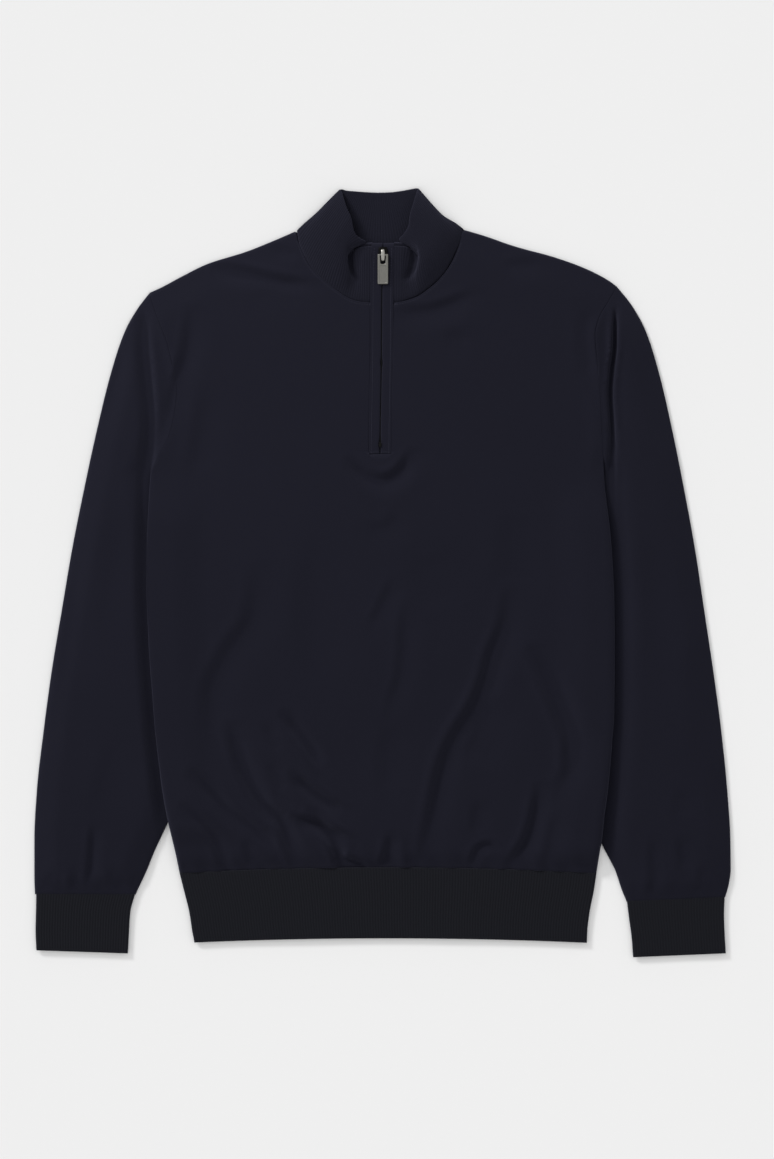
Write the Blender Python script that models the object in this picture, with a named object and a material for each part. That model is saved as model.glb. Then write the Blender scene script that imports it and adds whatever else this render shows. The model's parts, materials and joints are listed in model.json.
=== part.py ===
"""A quarter-zip sweater in fine knit, laid flat on its back with the sleeves down beside the body.

X runs to the right, Y up towards the collar and Z up from the surface that it lies on. The origin
is under the middle of the sweater. Every size in the tables is in millimetres; left and right are
those of someone looking down at it. Each cloth piece is a wall: the outer side carries the folds and
ribs, and the underside that rests on the surface is flat.
"""

import math

import bpy
from mathutils import Vector
from mathutils.geometry import delaunay_2d_cdt

MM = 0.001
LEFT, RIGHT = -1, 1

# Cloth thicknesses and how the layers lie
WALL = 1.3  # jersey panels and sleeves
RIB_WALL = 1.7  # cuffs and hem band
COLLAR_WALL = 2.6  # the collar is folded double
SEAM = 0.3  # between pieces where they are linked or lie on each other
EDGE_HEIGHT = 3.0  # a flat tube at its folded edge
RISE = 3.5  # the body's underside where it lies over a sleeve's margin
REACH_UNDER = 24.0  # how far in from the body's edge it stays raised
REACH_DOWN = 60.0  # and how far in it is down again
RISING = 22.0  # the length below the underarm over which it rises

# Ribs
RIB_PITCH = 2.8
RIB_DEPTH = 0.5
COLLAR_RIB_PITCH = 2.5
COLLAR_RIB_DEPTH = 0.45

# Body: the side edges below the armholes, from the underarm to the hem seam
BODY_EDGE = {
    # y, x
    LEFT: [(99.5, -231), (32, -231), (-53, -231), (-121, -226.5), (-172, -221),
           (-224, -214), (-248, -210), (-273, -204.4), (-296, -199.7)],
    RIGHT: [(103.5, 220), (67, 225), (32, 227), (-53, 229), (-121, 231), (-172, 228),
            (-224, 221), (-261, 216), (-273, 214), (-296, 210.5)],
}
SHOULDER = {
    # x, y from beside the collar to the shoulder point
    LEFT: [(-86.5, 336), (-105, 328), (-134.5, 316.2), (-172, 304.4), (-196.5, 292.5),
           (-218, 281), (-229.5, 275.8)],
    RIGHT: [(79.6, 338), (100, 332), (128.5, 322.1), (171, 310.3), (202.5, 298.5),
            (224, 287), (231, 281.7)],
}
ARMHOLE = {
    # x, y from the shoulder point to the underarm
    LEFT: [(-229.5, 275.8), (-222, 254), (-209.5, 219), (-203, 180), (-208, 143),
           (-220, 116), (-231, 99.5)],
    RIGHT: [(231, 281.7), (222, 266), (213, 250), (209.5, 234), (211.5, 210), (214, 175),
            (216, 141), (220, 103.5)],
}
HEM_SEAM_Y, HEM_SEAM_BOW = -290.2, 5.2  # at the middle, and how far its ends hang lower
HEM_END_Y, HEM_END_BOW = -359.6, 4.6
HEM_MIDDLE_X, HEM_HALF = 5.0, 200.0

# Front panel
FRONT_AIR = 2.2  # the front lies this far above the back in the middle
BLOUSE = 0.9  # extra height where it bags over the hem band
FOLDS = [
    # depth, half width, path of (x, y)
    (0.9, 8, [(-163, 300), (-130, 294), (-95, 286), (-70, 283)]),
    (0.5, 6, [(-106, 320), (-84, 312)]),
    (0.9, 7, [(34, 254), (60, 258), (89, 265)]),
    (0.5, 8, [(60, 231), (86, 231)]),
    (0.5, 6, [(118, 301), (155, 304)]),
    (0.5, 10, [(-185, 249), (-197, 220), (-199, 188)]),
    (1.1, 8, [(-32, 109), (-10, 93), (11, 98), (29, 119)]),
    (0.4, 7, [(-14, 46), (18, 57)]),
    (1.5, 12, [(127, -29), (93, -128), (66, -163), (55, -207), (45, -258), (36, -284)]),
    (0.8, 12, [(154, -80), (173, -117), (182, -172)]),
    (0.9, 9, [(154, -220), (144, -258), (124, -282)]),
    (0.6, 7, [(96, -266), (80, -284)]),
    (1.6, 10, [(-150, -159), (-132, -200), (-112, -233), (-95, -266), (-82, -284)]),
    (0.7, 8, [(-85, -152), (-58, -196)]),
    (1.0, 7, [(-95, -220), (-68, -244), (-41, -261)]),
    (0.8, 6, [(-58, -259), (-44, -278), (-31, -285)]),
    (1.0, 7, [(-163, -224), (-146, -238), (-105, -264)]),
    (0.7, 7, [(-196, -254), (-170, -282)]),
    (0.7, 13, [(24, -36), (8, -159), (5, -272)]),
    (0.7, 14, [(-123, 12), (-150, -80)]),
]
GRID = 25.0  # spacing of the panel's inner points
CLEAR_OF_EDGE = 8.0
CLEAR_OF_POINT = 6.5

# Sleeves: the outer fold, and the inner fold where it shows below the body's edge
SLEEVE_OUTER = {
    # y, x
    LEFT: [(275.8, -229.5), (259, -242), (239.5, -253), (200, -266.5), (141, -281.2),
           (82, -294), (22.7, -305.8), (-36.5, -315.8), (-95.5, -325.6), (-154.6, -333.6),
           (-213.7, -340.3), (-263, -342.8), (-300, -342.8), (-316, -342.2)],
    RIGHT: [(281.7, 231), (264, 245), (239.5, 258.6), (200, 271.4), (141, 285.2), (82, 297),
            (22.7, 307.8), (-36.5, 316.7), (-95.5, 325.5), (-154.6, 333.4), (-213.7, 339.4),
            (-263, 342.5), (-292, 342.8), (-308, 340.6), (-319, 337.3)],
}
SLEEVE_UNDER = {
    # y, how far the inner fold reaches in under the body's edge
    LEFT: [(99.5, -0.6), (76, -0.9), (60, 2), (28, 9), (-17, 15), (-66, 19), (-115, 20),
           (-165, 19.5), (-204, 16), (-226, 9), (-243, 1), (-244.5, 0)],
    RIGHT: [(103.5, -0.6), (78, -0.9), (62, 1.5), (28, 8), (-20, 13), (-66, 15.5), (-115, 17),
            (-165, 18), (-208, 15), (-243, 7.5), (-264, 1), (-265.5, 0)],
}
SLEEVE_INNER = {
    # y, x below the body's edge
    LEFT: [(-244.5, -210.9), (-258, -217), (-272.8, -224), (-292.5, -232), (-316, -243)],
    RIGHT: [(-265.5, 215.2), (-275, 220), (-292.5, 229), (-312, 235.6), (-323, 240.2)],
}
SLEEVE_END = {LEFT: (-315.3, -315.7), RIGHT: (-318.1, -322.6)}  # y at the outer and inner folds
SLEEVE_GRID = 17.0  # spacing of the points in the upper layer
SLEEVE_INSIDE_GRID = 30.0  # and in the inside of it
SLEEVE_PUFF = 2.8
VALLEY = {
    # y, x of the crease where the sleeve turns down from the shoulder
    LEFT: [(257, -232), (225, -229.5), (180, -227), (141, -229), (99.5, -231)],
    RIGHT: [(260, 229), (230, 227.5), (202, 226), (153, 221), (103.5, 220)],
}
VALLEY_OUT, VALLEY_IN = 27.0, 9.0  # how wide the crease is on either side
VALLEY_STARTS, VALLEY_FULL = 264.0, 232.0
SLEEVE_FOLDS = {
    LEFT: [(1.3, 6, [(-285.6, -236), (-285.6, -262), (-288.6, -306)])],
    RIGHT: [(0.9, 6, [(266, -268), (267, -296)]), (0.9, 6, [(293, -262), (297, -290)])],
}

# Ribbed tubes
CUFF_HEIGHT = 4.0
HEM_HEIGHT = 4.1
CUFF = {
    # share of the way down, x of the left edge, x of the right edge
    LEFT: [(0, -340.9, -243.6), (0.3, -341.2, -248.3), (0.65, -341.6, -249.6), (1, -340.8, -250.7)],
    RIGHT: [(0, 240.6, 336.8), (0.3, 242.6, 336.2), (0.65, 245.2, 336.8), (1, 246.7, 338)],
}
CUFF_ENDS = {
    # y of the seam at the left and right edges, y of the free end at the left and right edges
    LEFT: (-315.7, -316.1, -371.4, -374.7),
    RIGHT: (-323.0, -318.5, -378.5, -374.4),
}
HEM = [
    (0, -199.7, 210.6), (0.25, -195.5, 208.0), (0.55, -190.4, 204.0), (0.85, -187.2, 201.5),
    (1, -185.2, 201.2),
]

# Collar, measured out from its own middle; each row is a line from the neck seam to the top edge
COLLAR_X = -3.4
ZIP_SHIFT_REACH = 45.0  # the rows nearer the front than this lean over with the zip
COLLAR_ROWS = [
    # base out, base y, base z, top out, top y, top z, lean in degrees, bulge
    (11.9, 265.6, 4.4, 11.9, 321.2, 6.0, 0, 0.2),
    (24.0, 267.8, 4.4, 24.4, 319.6, 5.4, 0, 0.1),
    (30.5, 269.8, 4.4, 28.3, 319.4, 4.3, 0, -0.2),
    (36.0, 272.8, 4.4, 24.6, 327.0, 8.2, 0, 1.2),
    (46.0, 279.5, 4.4, 25.8, 336.0, 9.9, 0, 2.4),
    (57.0, 289.0, 4.4, 28.6, 347.0, 10.4, 0, 2.8),
    (66.5, 300.8, 4.4, 33.2, 358.5, 9.8, 8, 2.6),
    (73.9, 313.2, 4.4, 36.4, 369.0, 8.2, 20, 2.0),
    (78.6, 326.5, 4.2, 38.4, 374.8, 6.2, 45, 1.2),
    (80.6, 336.2, 2.85, 39.2, 378.4, 4.2, 90, 0.5),
    (78.2, 335.6, 1.5, 36.4, 378.5, 2.2, 150, 0.1),
    (66.0, 332.2, 1.3, 27.0, 377.2, 1.3, 180, 0),
    (40.0, 327.6, 1.3, 13.0, 375.4, 1.3, 180, 0),
    (0.0, 325.0, 1.3, 0.0, 374.6, 1.3, 180, 0),
]
COLLAR_HEIGHTS = [0, 0.2, 0.45, 0.7, 0.9, 1.0]
RIM_THINNING = 0.5  # the wall's share left at the very top edge

# Zip
ZIP_LINE = [(321, 0.5), (279, -0.5), (210, -1.0), (124, -2.4), (110, -2.5)]  # y, x
ZIP_TOP, ZIP_END = 321.0, 117.4
FACING_WIDTH = 10.4
ZIP_GAP = 1.9
FACING_WALL = 1.6
FACING_PROUD = 0.4
TAPE_WIDTH, TAPE_WALL = 15.0, 0.7
CHAIN_WIDTH, CHAIN_WALL = 1.2, 1.0
STOP = {"y": 126.5, "width": 2.6, "length": 5.0, "height": 0.8}
SLIDER = {
    # y, half width of the plate
    "outline": [(320.4, 3.2), (319.2, 4.4), (312.0, 4.4), (309.0, 3.2), (306.0, 2.4)],
    "plate": 1.1,
    "post": 1.1,
}
BAIL = {"width": 3.6, "top": 318.0, "bottom": 306.6, "strap": 0.9, "inside": 2.3}
PIVOT_Y = 312.6
PIVOT_ABOVE_PLATE = 1.15
TAB = {"width": 10.3, "end": 283.9, "wall": 1.0, "bar": 1.4, "hole": 5.6, "hole_end": 303.6}

MATERIALS = {
    # colour, roughness, metallic
    "jersey": ((0.0125, 0.0130, 0.0215), 0.92, 0.0),
    "rib": ((0.0115, 0.0120, 0.0185), 0.92, 0.0),
    "tape": ((0.0100, 0.0105, 0.0160), 0.85, 0.0),
    "teeth": ((0.1200, 0.1200, 0.1150), 0.42, 1.0),
    "metal": ((0.3300, 0.3250, 0.3050), 0.34, 1.0),
}


# ---------------------------------------------------------------- curves and blends
def smooth(start, end, value):
    """0 at start, 1 at end, with no corner at either; start may be the larger."""
    share = min(1.0, max(0.0, (value - start) / (end - start)))
    return share * share * (3 - 2 * share)


def slopes(keys, values):
    """Slopes at the points of a table so that a cubic through them never overshoots."""
    steps = [(b - a, (v - u) / (b - a)) for a, b, u, v in zip(keys, keys[1:], values, values[1:])]
    inner = []
    for (wide_a, slope_a), (wide_b, slope_b) in zip(steps, steps[1:]):
        if slope_a * slope_b <= 0:
            inner.append(0.0)
            continue
        weight_a = 2 * wide_b + wide_a
        weight_b = wide_b + 2 * wide_a
        inner.append((weight_a + weight_b) / (weight_a / slope_a + weight_b / slope_b))
    return [steps[0][1]] + inner + [steps[-1][1]]


def through(keys, values, key):
    """The value at key on the smooth curve through a table whose keys rise."""
    if key <= keys[0]:
        return values[0]
    if key >= keys[-1]:
        return values[-1]
    at = max(i for i in range(len(keys) - 1) if keys[i] <= key)
    gradients = slopes(keys, values)
    wide = keys[at + 1] - keys[at]
    t = (key - keys[at]) / wide
    return (
        values[at] * (1 + 2 * t) * (1 - t) ** 2
        + gradients[at] * wide * t * (1 - t) ** 2
        + values[at + 1] * t * t * (3 - 2 * t)
        + gradients[at + 1] * wide * t * t * (t - 1)
    )


def look_up(table, key):
    """The second column of a table at a value of the first, whichever way the first runs."""
    rows = sorted(table)
    return through([row[0] for row in rows], [row[1] for row in rows], key)


def along(points, share):
    """The point at a share of the length of the smooth curve through points."""
    lengths = [0.0]
    for a, b in zip(points, points[1:]):
        lengths.append(lengths[-1] + math.dist(a, b))
    key = share * lengths[-1]
    return tuple(through(lengths, [p[axis] for p in points], key) for axis in (0, 1))


def mix(a, b, share):
    return a + (b - a) * share


def distance_to_path(point, path):
    """Distance to a line of straight runs, and the share of its length where it is nearest."""
    lengths = [math.dist(a, b) for a, b in zip(path, path[1:])]
    best = (math.inf, 0.0)
    done = 0.0
    for (a, b), length in zip(zip(path, path[1:]), lengths):
        run = ((b[0] - a[0]) / length, (b[1] - a[1]) / length)
        reach = (point[0] - a[0]) * run[0] + (point[1] - a[1]) * run[1]
        reach = min(length, max(0.0, reach))
        foot = (a[0] + run[0] * reach, a[1] + run[1] * reach)
        best = min(best, (math.dist(point, foot), (done + reach) / sum(lengths)))
        done += length
    return best


def fold_depth(folds, x, y):
    """How far the folds press the cloth down here: a trough with a low ridge along either side."""
    total = 0.0
    for depth, half_width, path in folds:
        distance, share = distance_to_path((x, y), path)
        across = distance / half_width
        if across > 3:
            continue
        fade = smooth(-0.12, 0.25, share) * smooth(1.12, 0.75, share)
        trough = math.exp(-across * across) - 0.4 * math.exp(-((across - 1.7) ** 2) * 2)
        total += depth * fade * trough
    return total


# ---------------------------------------------------------------- meshes
def material(name):
    if name in bpy.data.materials:
        return bpy.data.materials[name]
    made = bpy.data.materials.new(name)
    made.use_nodes = True
    shader = made.node_tree.nodes["Principled BSDF"]
    colour, roughness, metallic = MATERIALS[name]
    shader.inputs["Base Color"].default_value = (*colour, 1.0)
    shader.inputs["Roughness"].default_value = roughness
    shader.inputs["Metallic"].default_value = metallic
    made.diffuse_color = (*colour, 1.0)
    return made


def make(name, points, faces, finish, origin=(0.0, 0.0, 0.0)):
    """An object from points in millimetres, its origin at a point that is also in millimetres."""
    mesh = bpy.data.meshes.new(name)
    start = Vector(origin)
    mesh.from_pydata([(Vector(p) - start) * MM for p in points], [], faces)
    mesh.materials.append(material(finish))
    mesh.shade_smooth()
    mesh.set_sharp_from_angle(angle=math.radians(50))
    made = bpy.data.objects.new(name, mesh)
    made.location = start * MM
    bpy.context.scene.collection.objects.link(made)
    return made


def panel(name, outline, inner, top_height, wall, finish):
    """A sheet of cloth: its outline and inner points in plan, and one surface wall above the other."""
    spots = [Vector(p) for p in outline + inner]
    loop = list(range(len(outline)))
    spots, _, triangles, _, _, _ = delaunay_2d_cdt(spots, [], [loop], 1, 1e-5)
    tops = [(p.x, p.y, top_height(p.x, p.y)) for p in spots]
    lows = [(x, y, z - wall) for x, y, z in tops]
    count = len(spots)
    faces = []
    edges = set()
    for a, b, c in triangles:
        faces.append((a, b, c))
        faces.append((c + count, b + count, a + count))
        edges |= {(a, b), (b, c), (c, a)}
    for a, b in sorted(edges):
        if (b, a) not in edges:
            faces.append((b, a, a + count, b + count))
    return make(name, tops + lows, faces, finish)


def spread_inside(outline, candidates):
    """The candidates that lie inside the outline, clear of it and of each other."""
    kept = []
    for point in candidates:
        crossings = 0
        for a, b in zip(outline, outline[1:] + outline[:1]):
            if (a[1] > point[1]) != (b[1] > point[1]):
                crossings += point[0] < mix(a[0], b[0], (point[1] - a[1]) / (b[1] - a[1]))
        if crossings % 2 == 0:
            continue
        if distance_to_path(point, outline + outline[:1])[0] < CLEAR_OF_EDGE:
            continue
        if all(math.dist(point, other) > CLEAR_OF_POINT for other in kept):
            kept.append(point)
    return kept


def tube(name, outers, inners, finish):
    """An open tube: matching loops for its outside and its inside, joined at both ends."""
    points = [p for loop in outers + inners for p in loop]
    around, within = len(outers[0]), len(inners[0])
    first_inner = around * len(outers)
    faces = []
    for ring in range(len(outers) - 1):
        for i in range(around):
            j = (i + 1) % around
            low, high = ring * around, (ring + 1) * around
            faces.append((high + i, high + j, low + j, low + i))
        for i in range(within):
            j = (i + 1) % within
            low = first_inner + ring * within
            high = low + within
            faces.append((low + i, low + j, high + j, high + i))
    last = len(outers) - 1
    starting = zipped(points, 0, around, first_inner, within)
    faces += [tuple(reversed(face)) for face in starting]
    faces += zipped(points, last * around, around, first_inner + last * within, within)
    return make(name, points, faces, finish)


def zipped(points, outer, around, inner, within):
    """Triangles between an outer and an inner loop that start side by side and run the same way."""
    faces = []
    i = j = 0
    while i < around or j < within:
        out_a, out_b = outer + i % around, outer + (i + 1) % around
        in_a, in_b = inner + j % within, inner + (j + 1) % within
        ahead = math.dist(points[out_b], points[in_a]) if i < around else math.inf
        behind = math.dist(points[out_a], points[in_b]) if j < within else math.inf
        if ahead <= behind:
            faces.append((out_b, out_a, in_a))
            i += 1
        else:
            faces.append((out_a, in_a, in_b))
            j += 1
    return faces


# ---------------------------------------------------------------- heights
def inside_edge(side, x, y):
    """How far a point is in from the body's side edge; negative is outside."""
    return side * (look_up(BODY_EDGE[side], y) - x)


def lift(x, y):
    """The height of the body's underside: it lies over the sleeves' inner margins."""
    total = 0.0
    for side in (LEFT, RIGHT):
        underarm = BODY_EDGE[side][0][0]
        apex = SLEEVE_INNER[side][0][0]
        over = smooth(REACH_DOWN, REACH_UNDER, inside_edge(side, x, y))
        up = smooth(underarm - 1, underarm - 1 - RISING, y)
        down = smooth(apex - 27, apex - 3, y)
        total += over * up * down
    return RISE * total


def shoulder_y(x):
    side = LEFT if x < COLLAR_X else RIGHT
    return look_up(SHOULDER[side], x)


def front_top(x, y):
    """The height of the front panel's upper side."""
    air = FRONT_AIR
    for side in (LEFT, RIGHT):
        near_edge = smooth(45, 0, inside_edge(side, x, y))
        below_arm = smooth(BODY_EDGE[side][0][0] + 25, BODY_EDGE[side][0][0] - 20, y)
        air -= 1.9 * near_edge * below_arm
    air -= 1.9 * smooth(34, 0, shoulder_y(x) - y)
    above_hem = y - hem_y(x, 0)
    air += BLOUSE * smooth(60, 22, above_hem) * smooth(0, 18, above_hem)
    air -= 1.0 * smooth(16, 0, above_hem)
    air -= fold_depth(FOLDS, x, y)
    return lift(x, y) + 2 * WALL + SEAM + max(0.05, air)


def hem_y(x, share):
    """The y of the line across the hem band at a share of the way from its seam to its free end."""
    bow = ((x - HEM_MIDDLE_X) / HEM_HALF) ** 2
    seam = HEM_SEAM_Y - HEM_SEAM_BOW * bow
    end = HEM_END_Y - HEM_END_BOW * bow
    return mix(seam, end, share)


def zip_x(y):
    return look_up(ZIP_LINE, y)


# ---------------------------------------------------------------- body
def neck_line(side, clearance):
    """Points of the front neckline from the zip facing to the shoulder, clear of the collar."""
    rows = COLLAR_ROWS[: next(i for i, row in enumerate(COLLAR_ROWS) if row[6] == 90) + 1]
    line = []
    steps = 20
    for step in range(steps + 1):
        out, y, _, _, _, _, lean, _ = collar_row(rows, step / steps)
        more = clearance + 1.5 * math.sin(math.radians(lean))
        turn = smooth(0.15, 0.9, step / steps) * math.pi / 2
        y -= more * math.cos(turn)
        line.append((collar_x(side, out + more * math.sin(turn), y), y))
    return line


def sleeve_places(length):
    """Distances along a sleeve's ring where its points lie, from the outer fold to the inner."""
    near = [0.0, 0.8, 1.9, 6.0, 14.0, 26.0]
    middle = [mix(26.0, length - 26.0, i / 5) for i in range(1, 5)]
    return near + middle + [length - d for d in reversed(near)]


def armhole_points(side, clearance):
    """The armhole seam at the places of the sleeve's first ring, from shoulder to underarm."""
    seam = ARMHOLE[side]
    length = sum(math.dist(a, b) for a, b in zip(seam, seam[1:]))
    found = []
    for place in sleeve_places(length):
        x, y = along(seam, place / length)
        found.append((x + side * clearance, y))
    return found


def body_side(side, spacing):
    """The body's side edge from just below the underarm to just above the hem seam."""
    top = BODY_EDGE[side][0][0]
    low = hem_y(BODY_EDGE[side][-1][1], 0) + SEAM
    count = round((top - low) / spacing)
    ys = [mix(top, low, i / count) for i in range(1, count + 1)]
    return [(look_up(BODY_EDGE[side], y), y) for y in ys]


def body_half(side, neck, spacing):
    """One half of the body's outline, from the neckline's start out and down to the hem's end."""
    shoulder = [along(SHOULDER[side], i / 8) for i in range(8)]
    return neck + shoulder[1:] + armhole_points(side, 0) + body_side(side, spacing)


def hem_line(low_left, low_right, spacing):
    count = round((low_right[0] - low_left[0]) / spacing)
    xs = [mix(low_left[0], low_right[0], i / count) for i in range(1, count)]
    return [(x, hem_y(x, 0) + SEAM) for x in xs]


def side_candidates():
    """Points in lines beside the body's side edges, where the cloth comes down off the sleeves."""
    found = []
    for side in (LEFT, RIGHT):
        for inset in (11, REACH_UNDER + 1, 42, REACH_DOWN):
            y = BODY_EDGE[side][0][0]
            while y > BODY_EDGE[side][-1][0]:
                found.append((look_up(BODY_EDGE[side], y) - side * inset, y))
                y -= 18
    return found


def grid_candidates(spacing):
    count = int(720 / spacing)
    return [
        ((i - count / 2 + 0.5 * (j % 2)) * spacing, (j - count / 2) * spacing)
        for j in range(count)
        for i in range(count)
    ]


def fold_candidates(folds):
    """Points along each fold's bottom and its two ridges."""
    found = []
    for _, half_width, path in folds:
        length = sum(math.dist(a, b) for a, b in zip(path, path[1:]))
        count = max(2, round(length / 17))
        spots = [along(path, i / count) for i in range(count + 1)]
        for i, (x, y) in enumerate(spots):
            before, after = spots[max(0, i - 1)], spots[min(count, i + 1)]
            run = (after[0] - before[0], after[1] - before[1])
            size = math.hypot(*run)
            for offset in (0, -half_width, half_width):
                found.append((x - run[1] / size * offset, y + run[0] / size * offset))
    return found


def front_body():
    left_slit = []
    right_slit = []
    reach = FACING_WIDTH + ZIP_GAP / 2 + SEAM
    for i in range(11):
        y = mix(ZIP_END - SEAM, 258, i / 10)
        left_slit.append((zip_x(y) - reach, y))
        right_slit.append((zip_x(y) + reach, y))
    left = body_half(LEFT, left_slit + neck_line(LEFT, SEAM + 0.1)[:-1], 20)
    right = body_half(RIGHT, right_slit + neck_line(RIGHT, SEAM + 0.1)[:-1], 20)
    outline = left + hem_line(left[-1], right[-1], 17) + list(reversed(right))
    inner = spread_inside(outline, fold_candidates(FOLDS) + side_candidates() + grid_candidates(GRID))
    panel("front_body", outline, inner, front_top, WALL, "jersey")


def back_body():
    rows = COLLAR_ROWS[next(i for i, row in enumerate(COLLAR_ROWS) if row[6] == 90):]
    neck = []
    for step in range(10, 0, -1):
        out, y, _, _, _, _, lean, _ = collar_row(rows, step / 10)
        neck.append((out, y - SEAM - 0.1 - 1.5 * math.sin(math.radians(lean))))
    left = body_half(LEFT, [(COLLAR_X - out, y) for out, y in neck[:-1]], 24)
    right = body_half(RIGHT, [(COLLAR_X + out, y) for out, y in neck[1:-1]], 24)
    outline = left + hem_line(left[-1], right[-1], 28) + list(reversed(right))
    inner = spread_inside(outline, side_candidates() + grid_candidates(GRID * 2.4))
    panel("back_body", outline, inner, lambda x, y: lift(x, y) + WALL, WALL, "jersey")


# ---------------------------------------------------------------- sleeves
def sleeve_inner_x(side, y):
    if y < SLEEVE_INNER[side][0][0]:
        return look_up(SLEEVE_INNER[side], y)
    return look_up(BODY_EDGE[side], y) - side * look_up(SLEEVE_UNDER[side], y)


def valley_depth(side, x, y):
    """1 in the crease between sleeve and body, fading to 0 away from it."""
    if y > BODY_EDGE[side][0][0]:
        line = look_up(VALLEY[side], y)
    else:
        line = look_up(BODY_EDGE[side], y)
    out = side * (x - line)
    strength = smooth(VALLEY_STARTS, VALLEY_FULL, y)
    if out >= 0:
        return strength * smooth(VALLEY_OUT, 2.0, out)
    if y > BODY_EDGE[side][0][0]:
        return strength * smooth(VALLEY_IN, 0.0, -out)
    return strength


def sleeve_top(side, x, y, from_outer, from_inner):
    puff = SLEEVE_PUFF * smooth(-4, 26, from_outer) * smooth(-4, 26, from_inner)
    puff -= fold_depth(SLEEVE_FOLDS[side], x, y)
    return EDGE_HEIGHT + max(0.0, puff) * (1 - valley_depth(side, x, y))


def sleeve_chains(side, inset):
    """The four sides of a sleeve in plan: armhole, inner fold, cuff and outer fold, from the shoulder."""
    armhole = armhole_points(side, SEAM + 0.1)
    if inset:
        armhole = armhole[2:-2]
    outer_end, inner_end = SLEEVE_END[side]
    gap = armhole[-1][1] - inner_end
    downs = [armhole[-1][1] - gap * i / 34 for i in range(1, 35)]
    inner = [(sleeve_inner_x(side, y) + side * inset, y) for y in downs]
    outer_x = look_up(SLEEVE_OUTER[side], outer_end) - side * inset
    cuff_line = [(mix(inner[-1][0], outer_x, i / 6), mix(inner_end, outer_end, i / 6)) for i in range(1, 7)]
    top = armhole[0][1] - 4 * inset
    ups = [mix(outer_end, top, i / 36) for i in range(1, 36 + (inset > 0))]
    outer = [(look_up(SLEEVE_OUTER[side], y) - side * inset, y) for y in ups]
    return armhole, inner, cuff_line, outer


def sleeve_candidates(side, spacing):
    """Inner points of a sleeve: along its valley and its folds, then all over."""
    found = []
    for out in (0, 12, VALLEY_OUT):
        for i in range(24):
            y = mix(262, -235, i / 23)
            line = VALLEY[side] if y > BODY_EDGE[side][0][0] else BODY_EDGE[side]
            found.append((look_up(line, y) + side * out, y))
    if spacing < SLEEVE_INSIDE_GRID:
        found += fold_candidates(SLEEVE_FOLDS[side])
    return found + grid_candidates(spacing)


def sheet_faces(outline, inner, height, points, upward):
    """Adds a triangulated sheet to points; returns its faces and the indices of its outline."""
    start = len(points)
    anticlockwise = signed_area(outline) > 0
    order = list(range(len(outline)))
    loop = order if anticlockwise else order[::-1]
    spots = [Vector(p) for p in outline + inner]
    spots, _, triangles, _, _, _ = delaunay_2d_cdt(spots, [], [loop], 1, 1e-5)
    points.extend((p.x, p.y, height(p.x, p.y)) for p in spots)
    faces = [tuple(start + i for i in (face if upward else face[::-1])) for face in triangles]
    return faces, [start + i for i in order]


def signed_area(outline):
    return sum(a[0] * b[1] - b[0] * a[1] for a, b in zip(outline, outline[1:] + outline[:1])) / 2


def sleeve(side, name):
    """A flat tube: an upper and a lower layer that meet at both folds, open at armhole and cuff."""
    points = []
    faces = []
    rims = []
    for inset in (0.0, WALL + 0.4):
        chains = sleeve_chains(side, inset)
        outline = [p for chain in chains for p in chain]
        spacing = SLEEVE_INSIDE_GRID if inset else SLEEVE_GRID
        inner = spread_inside(outline, sleeve_candidates(side, spacing))

        def top(x, y, inset=inset):
            outer_x = look_up(SLEEVE_OUTER[side], y)
            inner_x = sleeve_inner_x(side, min(y, BODY_EDGE[side][0][0]))
            if y > ARMHOLE[side][-1][1]:
                inner_x = look_up([(row[1], row[0]) for row in ARMHOLE[side]], y)
            height = sleeve_top(side, x, y, side * (outer_x - x), side * (x - inner_x))
            return height - (WALL if inset else 0.0)

        upper_faces, upper = sheet_faces(outline, inner, top, points, not inset)
        level = WALL if inset else 0.0
        lower_faces, lower = sheet_faces(outline, [], lambda x, y: level, points, bool(inset))
        faces += upper_faces + lower_faces
        ends = [0]
        for chain in chains:
            ends.append(ends[-1] + len(chain))
        around = len(outline)
        for i in list(range(ends[1] - 1, ends[2] - 1)) + list(range(ends[3] - 1, around)):
            j = (i + 1) % around
            quad = (upper[i], lower[i], lower[j], upper[j])
            faces.append(quad if (side == LEFT) == bool(inset) else quad[::-1])
        armhole = slice(0, ends[1])
        cuff_line = slice(ends[2] - 1, ends[3])
        rims.append([upper[part] + lower[part][::-1] for part in (armhole, cuff_line)])
    for index in (0, 1):
        outer_rim, inner_rim = (rim[index] + rim[index][:1] for rim in rims)
        ring = strip(points, outer_rim, inner_rim)
        faces += ring if side == LEFT else [face[::-1] for face in ring]
    make(name, points, faces, "jersey")


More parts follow.
